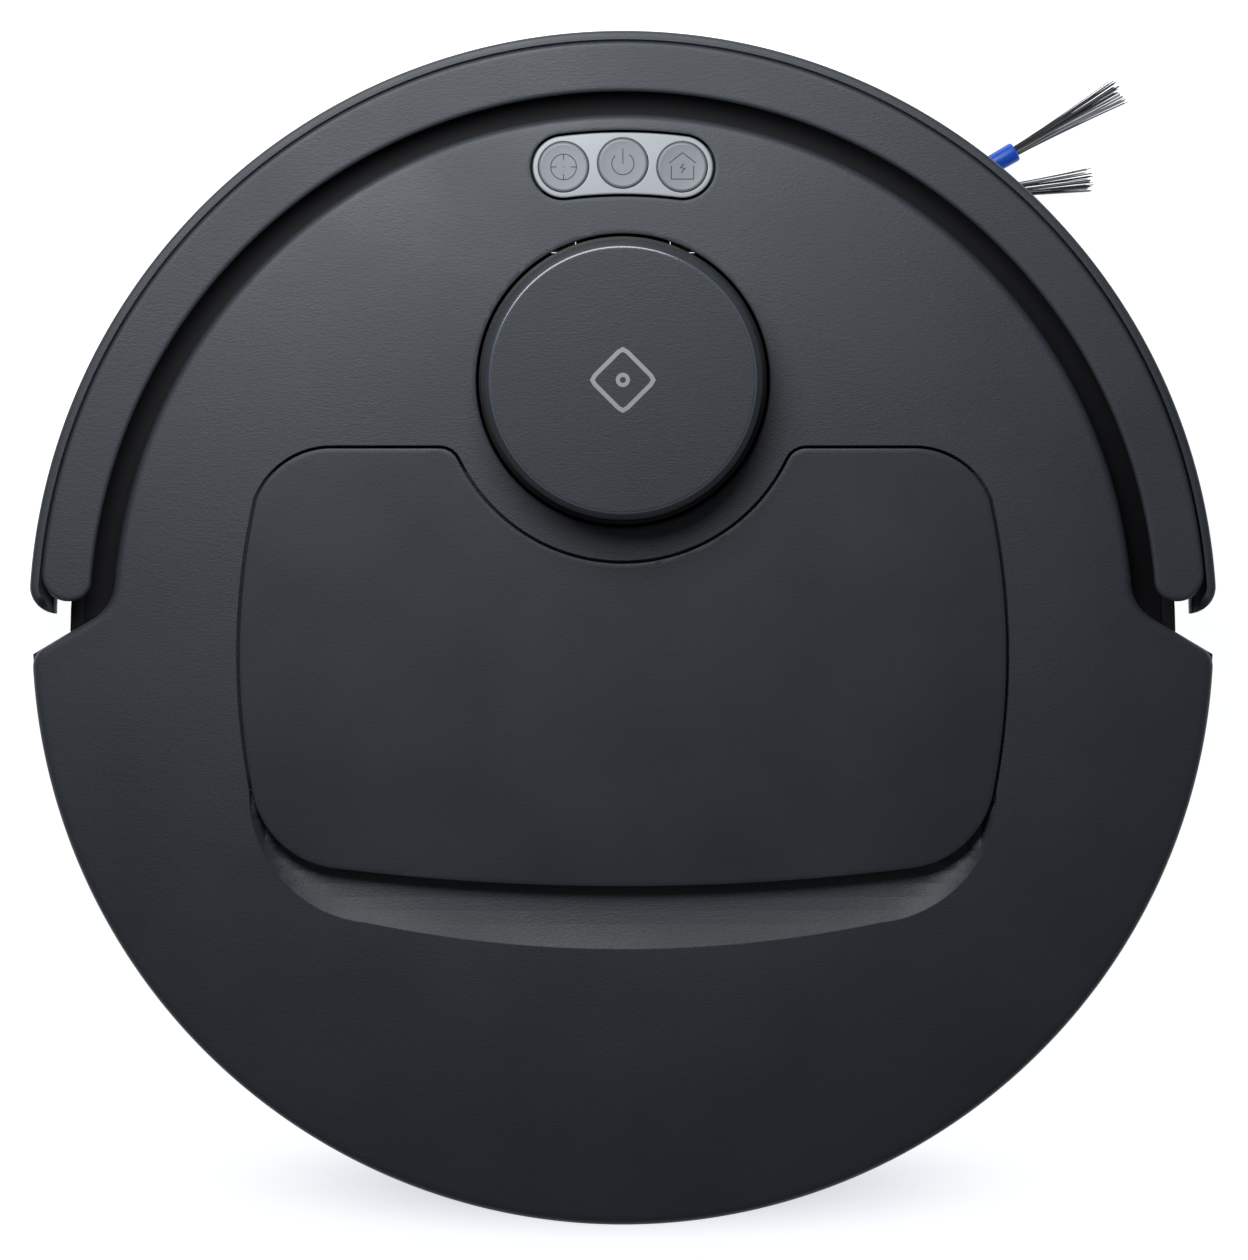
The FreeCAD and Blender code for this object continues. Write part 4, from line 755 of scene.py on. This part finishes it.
def make_bumper():
    """The broad ring on top, and the skin round it with the opening for the window."""
    bm = bmesh.new()
    plan = bumper_outline(RING_R, BUMPER_IN)
    rim = start(bm, lift(offset(plan, -2.0), BUMPER_TOP))
    foot = grow_profile(bm, rim, plan, [(-1.2, BUMPER_TOP)] + round_steps(
        1.2, BUMPER_TOP, count=5) + [(0, BUMPER_TOP - 4.5)])
    fill(bm, rim)
    fill(bm, foot)
    finish(bm, "bumper_top", "bumper", PAINT["bumper_grey"], ["bumper_shell"])

    bm = bmesh.new()
    plan = bumper_outline(BUMPER_OUT, SKIN_IN, SKIN_BACK, 8.0, 4.0)
    low_top, high_top = BUMPER_TOP - 5.4, BUMPER_TOP - 0.4
    rise_from, rise_wide = 171.5, 3.0

    def height(under):
        """The skin's top edge, lower on its inner side, at a distance under it."""
        def at(x, y):
            share = smooth((math.hypot(x, y - SHIFT) - rise_from) / rise_wide)
            return low_top + (high_top - low_top) * share - under
        return at

    def ring(out):
        """The skin's plan at a distance outwards."""
        return clear_of_wall(offset(plan, out), WALL_CLEAR - out)

    rim = start(bm, lift(ring(-0.8), BUMPER_LOW))
    edges = rim
    for level in (BUMPER_LOW + 0.8, WINDOW_LOW, WINDOW_HIGH, 66):
        edges = grow(bm, edges, lift(clear_of_wall(plan, WALL_CLEAR), level))
    rolled = [(out, -down) for out, down in round_steps(1.2, 0.0, count=5)[::-1]]
    for out, down in rolled + [(-1.9, 0.0), (-2.55, 0.0), (-2.6, 0.1)]:
        edges = grow(bm, edges, [(px, py, height(down)(qx, qy))
                                 for (px, py), (qx, qy) in zip(ring(out), plan)])
    edges = grow(bm, edges, lift(ring(-2.6), low_top - 0.3))
    fill(bm, rim)
    fill(bm, edges)
    for side in (-1, 1):
        ray = math.radians(90 + side * WINDOW_HALF)
        bmesh.ops.bisect_plane(bm, geom=bm.verts[:] + bm.edges[:] + bm.faces[:], dist=1e-7,
                               plane_co=(0, SHIFT * MM, 0),
                               plane_no=(-math.sin(ray), math.cos(ray), 0))
    slot = []
    for face in bm.faces:
        middle = face.calc_center_median() / MM
        bearing = abs(math.degrees(math.atan2(middle.x, middle.y - SHIFT)))
        if WINDOW_LOW < middle.z < WINDOW_HIGH and bearing < WINDOW_HALF and \
                math.hypot(middle.x, middle.y - SHIFT) > 170:
            slot.append(face)
    bmesh.ops.inset_region(bm, faces=slot, thickness=1e-5, depth=-2.4 * MM, use_even_offset=True)
    bmesh.ops.delete(bm, geom=slot, context="FACES")
    finish(bm, "bumper_face", "bumper", PAINT["bumper_grey"], ["bumper_skin"])


# ---------------------------------------------------------------- side brush

def brush_elbow(spoke):
    """The end of a spoke of the side brush, where its two tufts part."""
    return Vector((*BRUSH, BRUSH_HEIGHT)) + Matrix.Rotation(
        math.radians(spoke), 3, "Z") @ Vector((ARM_REACH, 0, 0))


def make_sleeves():
    """The three soft holders, flared a little towards their rolled mouths."""
    bm = bmesh.new()
    for step in range(3):
        spoke = FIRST_SPOKE + 120 * step
        elbow = brush_elbow(spoke)
        way = Matrix.Rotation(
            math.radians(spoke + SLEEVE_LEAN), 3, "Z") @ Vector((1, 0, -1 / 29))
        turn = way.to_track_quat("Z", "Y").to_matrix().to_4x4()
        stand = Matrix.Translation(elbow * MM) @ turn
        line = [(0, 1.8), (2.05, 1.8), (2.3, 13), (2.9, 22), (3.0, 28.4), (2.85, 29.1),
                (2.4, 29.4), (2.1, 29.0), (2.0, 26.7), (0, 26.7)]
        corners = [bm.verts.new(stand @ Vector((r * MM, 0, z * MM))) for r, z in line]
        edges = [bm.edges.new(pair) for pair in zip(corners, corners[1:])]
        bmesh.ops.spin(bm, geom=corners + edges, cent=elbow * MM, axis=way, steps=24,
                       angle=2 * math.pi, use_merge=True)
    finish(bm, "brush_sleeves", "side_brush", PAINT["blue_sleeve"],
           ["side_brush_sleeves"])


def make_bristles():
    """Six tufts of thin fibres that fan out from their holders."""
    bm = bmesh.new()
    made = 0
    for step in range(3):
        spoke = FIRST_SPOKE + 120 * step
        elbow = brush_elbow(spoke)
        for lean, reach, dip in ((SLEEVE_LEAN, 29.0, 1.0), (-59, 12.0, 0.4)):
            way = Matrix.Rotation(math.radians(spoke + lean), 3, "Z") @ Vector((1, 0, 0))
            side = Vector((-way.y, way.x, 0))
            root = elbow + way * (reach - 3.9) - Vector((0, 0, dip))
            for _ in range(44):
                around, far = random.uniform(0, 2 * math.pi), math.sqrt(random.random())
                across, rise = math.cos(around) * far, math.sin(around) * far
                fan = across * 4.1 + random.gauss(0, 0.25)
                length = random.uniform(38.0, 41.0)
                bow = random.gauss(0, 0.35)
                thick = random.uniform(0.19, 0.25)
                shade = random.choice((0, 0, 1))
                rows = []
                for index in range(6):
                    t = index / 5
                    spot = root + way * (length * t) + side * (
                        across * 1.2 + (fan - across * 1.2) * t ** 1.4 + bow * t * t)
                    spot.z += rise * 1.1 * (1 - 0.3 * t) - 2.1 * t * t
                    spot.z = max(spot.z, 1.2)
                    wide = thick * (1 - 0.35 * t)
                    rows.append([spot + side * wide * math.cos(a) + Vector((0, 0, wide))
                                 * math.sin(a) for a in (0.5, 2.6, 4.7)])
                edges = start(bm, rows[0])
                for row in rows[1:]:
                    edges = grow(bm, edges, row)
                bmesh.ops.triangle_fill(bm, edges=edges, use_beauty=True)
                bm.faces.ensure_lookup_table()
                for face in bm.faces[made:]:
                    face.material_index = shade
                made = len(bm.faces)
    fibres = finish(bm, "brush_fibres", "side_brush", PAINT["bristle"],
                    ["side_brush_bristles"], sharp=80)
    fibres.data.materials.append(PALE_FIBRE)


make_cover()
make_lid()
make_turret()
make_buttons()
make_bumper()
make_sleeves()
make_bristles()


# ---------------------------------------------------------------- floor, light and camera

def make_stage():
    """A pale floor with a painted faint shadow behind the body, a soft room and one front softbox.
    """
    bm = bmesh.new()
    bmesh.ops.create_grid(bm, x_segments=2, y_segments=2, size=6.0)
    mesh = bpy.data.meshes.new("floor")
    bm.to_mesh(mesh)
    bm.free()
    floor = bpy.data.objects.new("floor", mesh)
    bpy.context.scene.collection.objects.link(floor)
    paper = finish_of("floor_paper", tone(232, 234, 238), 0.9, 0.0, 100.0, 0.0)
    nodes, link = paper.node_tree.nodes, paper.node_tree.links.new
    shader = nodes["Principled BSDF"]
    shader.inputs["Emission Strength"].default_value = 1.0
    # The floor's glow darkens in a soft oval behind the body: a painted shadow, not one cast by
    # the lamp.
    place = nodes.new("ShaderNodeTexCoord")
    painted_shadow_oval = nodes.new("ShaderNodeMapping")
    painted_shadow_oval.vector_type = "TEXTURE"
    painted_shadow_oval.inputs["Location"].default_value = (0.0, -0.163, 0.0)
    painted_shadow_oval.inputs["Scale"].default_value = (0.130, 0.020, 1.0)
    soft = nodes.new("ShaderNodeTexGradient")
    soft.gradient_type = "SPHERICAL"
    ramp = nodes.new("ShaderNodeValToRGB")
    ramp.color_ramp.interpolation = "EASE"
    ramp.color_ramp.elements[0].color = (0.94, 0.955, 0.985, 1)
    ramp.color_ramp.elements[1].position = 0.75
    ramp.color_ramp.elements[1].color = (0.56, 0.58, 0.62, 1)
    link(place.outputs["Object"], painted_shadow_oval.inputs["Vector"])
    link(painted_shadow_oval.outputs["Vector"], soft.inputs["Vector"])
    link(soft.outputs["Fac"], ramp.inputs["Fac"])
    link(ramp.outputs["Color"], shader.inputs["Emission Color"])
    mesh.materials.append(paper)
    world = bpy.data.worlds.new("studio")
    world.use_nodes = True
    nodes, link = world.node_tree.nodes, world.node_tree.links.new
    path = nodes.new("ShaderNodeLightPath")
    strength = nodes.new("ShaderNodeMapRange")
    strength.inputs["To Min"].default_value = 0.09
    strength.inputs["To Max"].default_value = 1.0
    link(path.outputs["Is Camera Ray"], strength.inputs["Value"])
    link(strength.outputs["Result"], nodes["Background"].inputs["Strength"])
    nodes["Background"].inputs["Color"].default_value = (1, 1, 1, 1)
    bpy.context.scene.world = world
    spot, aim = Vector((-0.10, 0.35, 0.43)), Vector((-0.10, 0.30, 0.0))
    lamp = bpy.data.lights.new("front_softbox", "AREA")
    lamp.shape, lamp.size, lamp.energy = "DISK", 0.40, 2.75
    holder = bpy.data.objects.new("front_softbox", lamp)
    holder.location = spot
    holder.rotation_euler = (aim - spot).to_track_quat("-Z", "Y").to_euler()
    holder.visible_camera = False
    bpy.context.scene.collection.objects.link(holder)


def make_camera():
    """A long lens straight above the body."""
    height, view_long, view_level = 9.0, 0.3740, 0.05
    lens = bpy.data.cameras.new("camera")
    lens.sensor_width = 36.0
    lens.lens = 36.0 * (height - view_level) / view_long
    camera = bpy.data.objects.new("camera", lens)
    camera.location = (0.00033, 0.00113, height)
    bpy.context.scene.collection.objects.link(camera)
    bpy.context.scene.camera = camera


make_stage()
make_camera()
bpy.context.scene.view_settings.view_transform = "Standard"
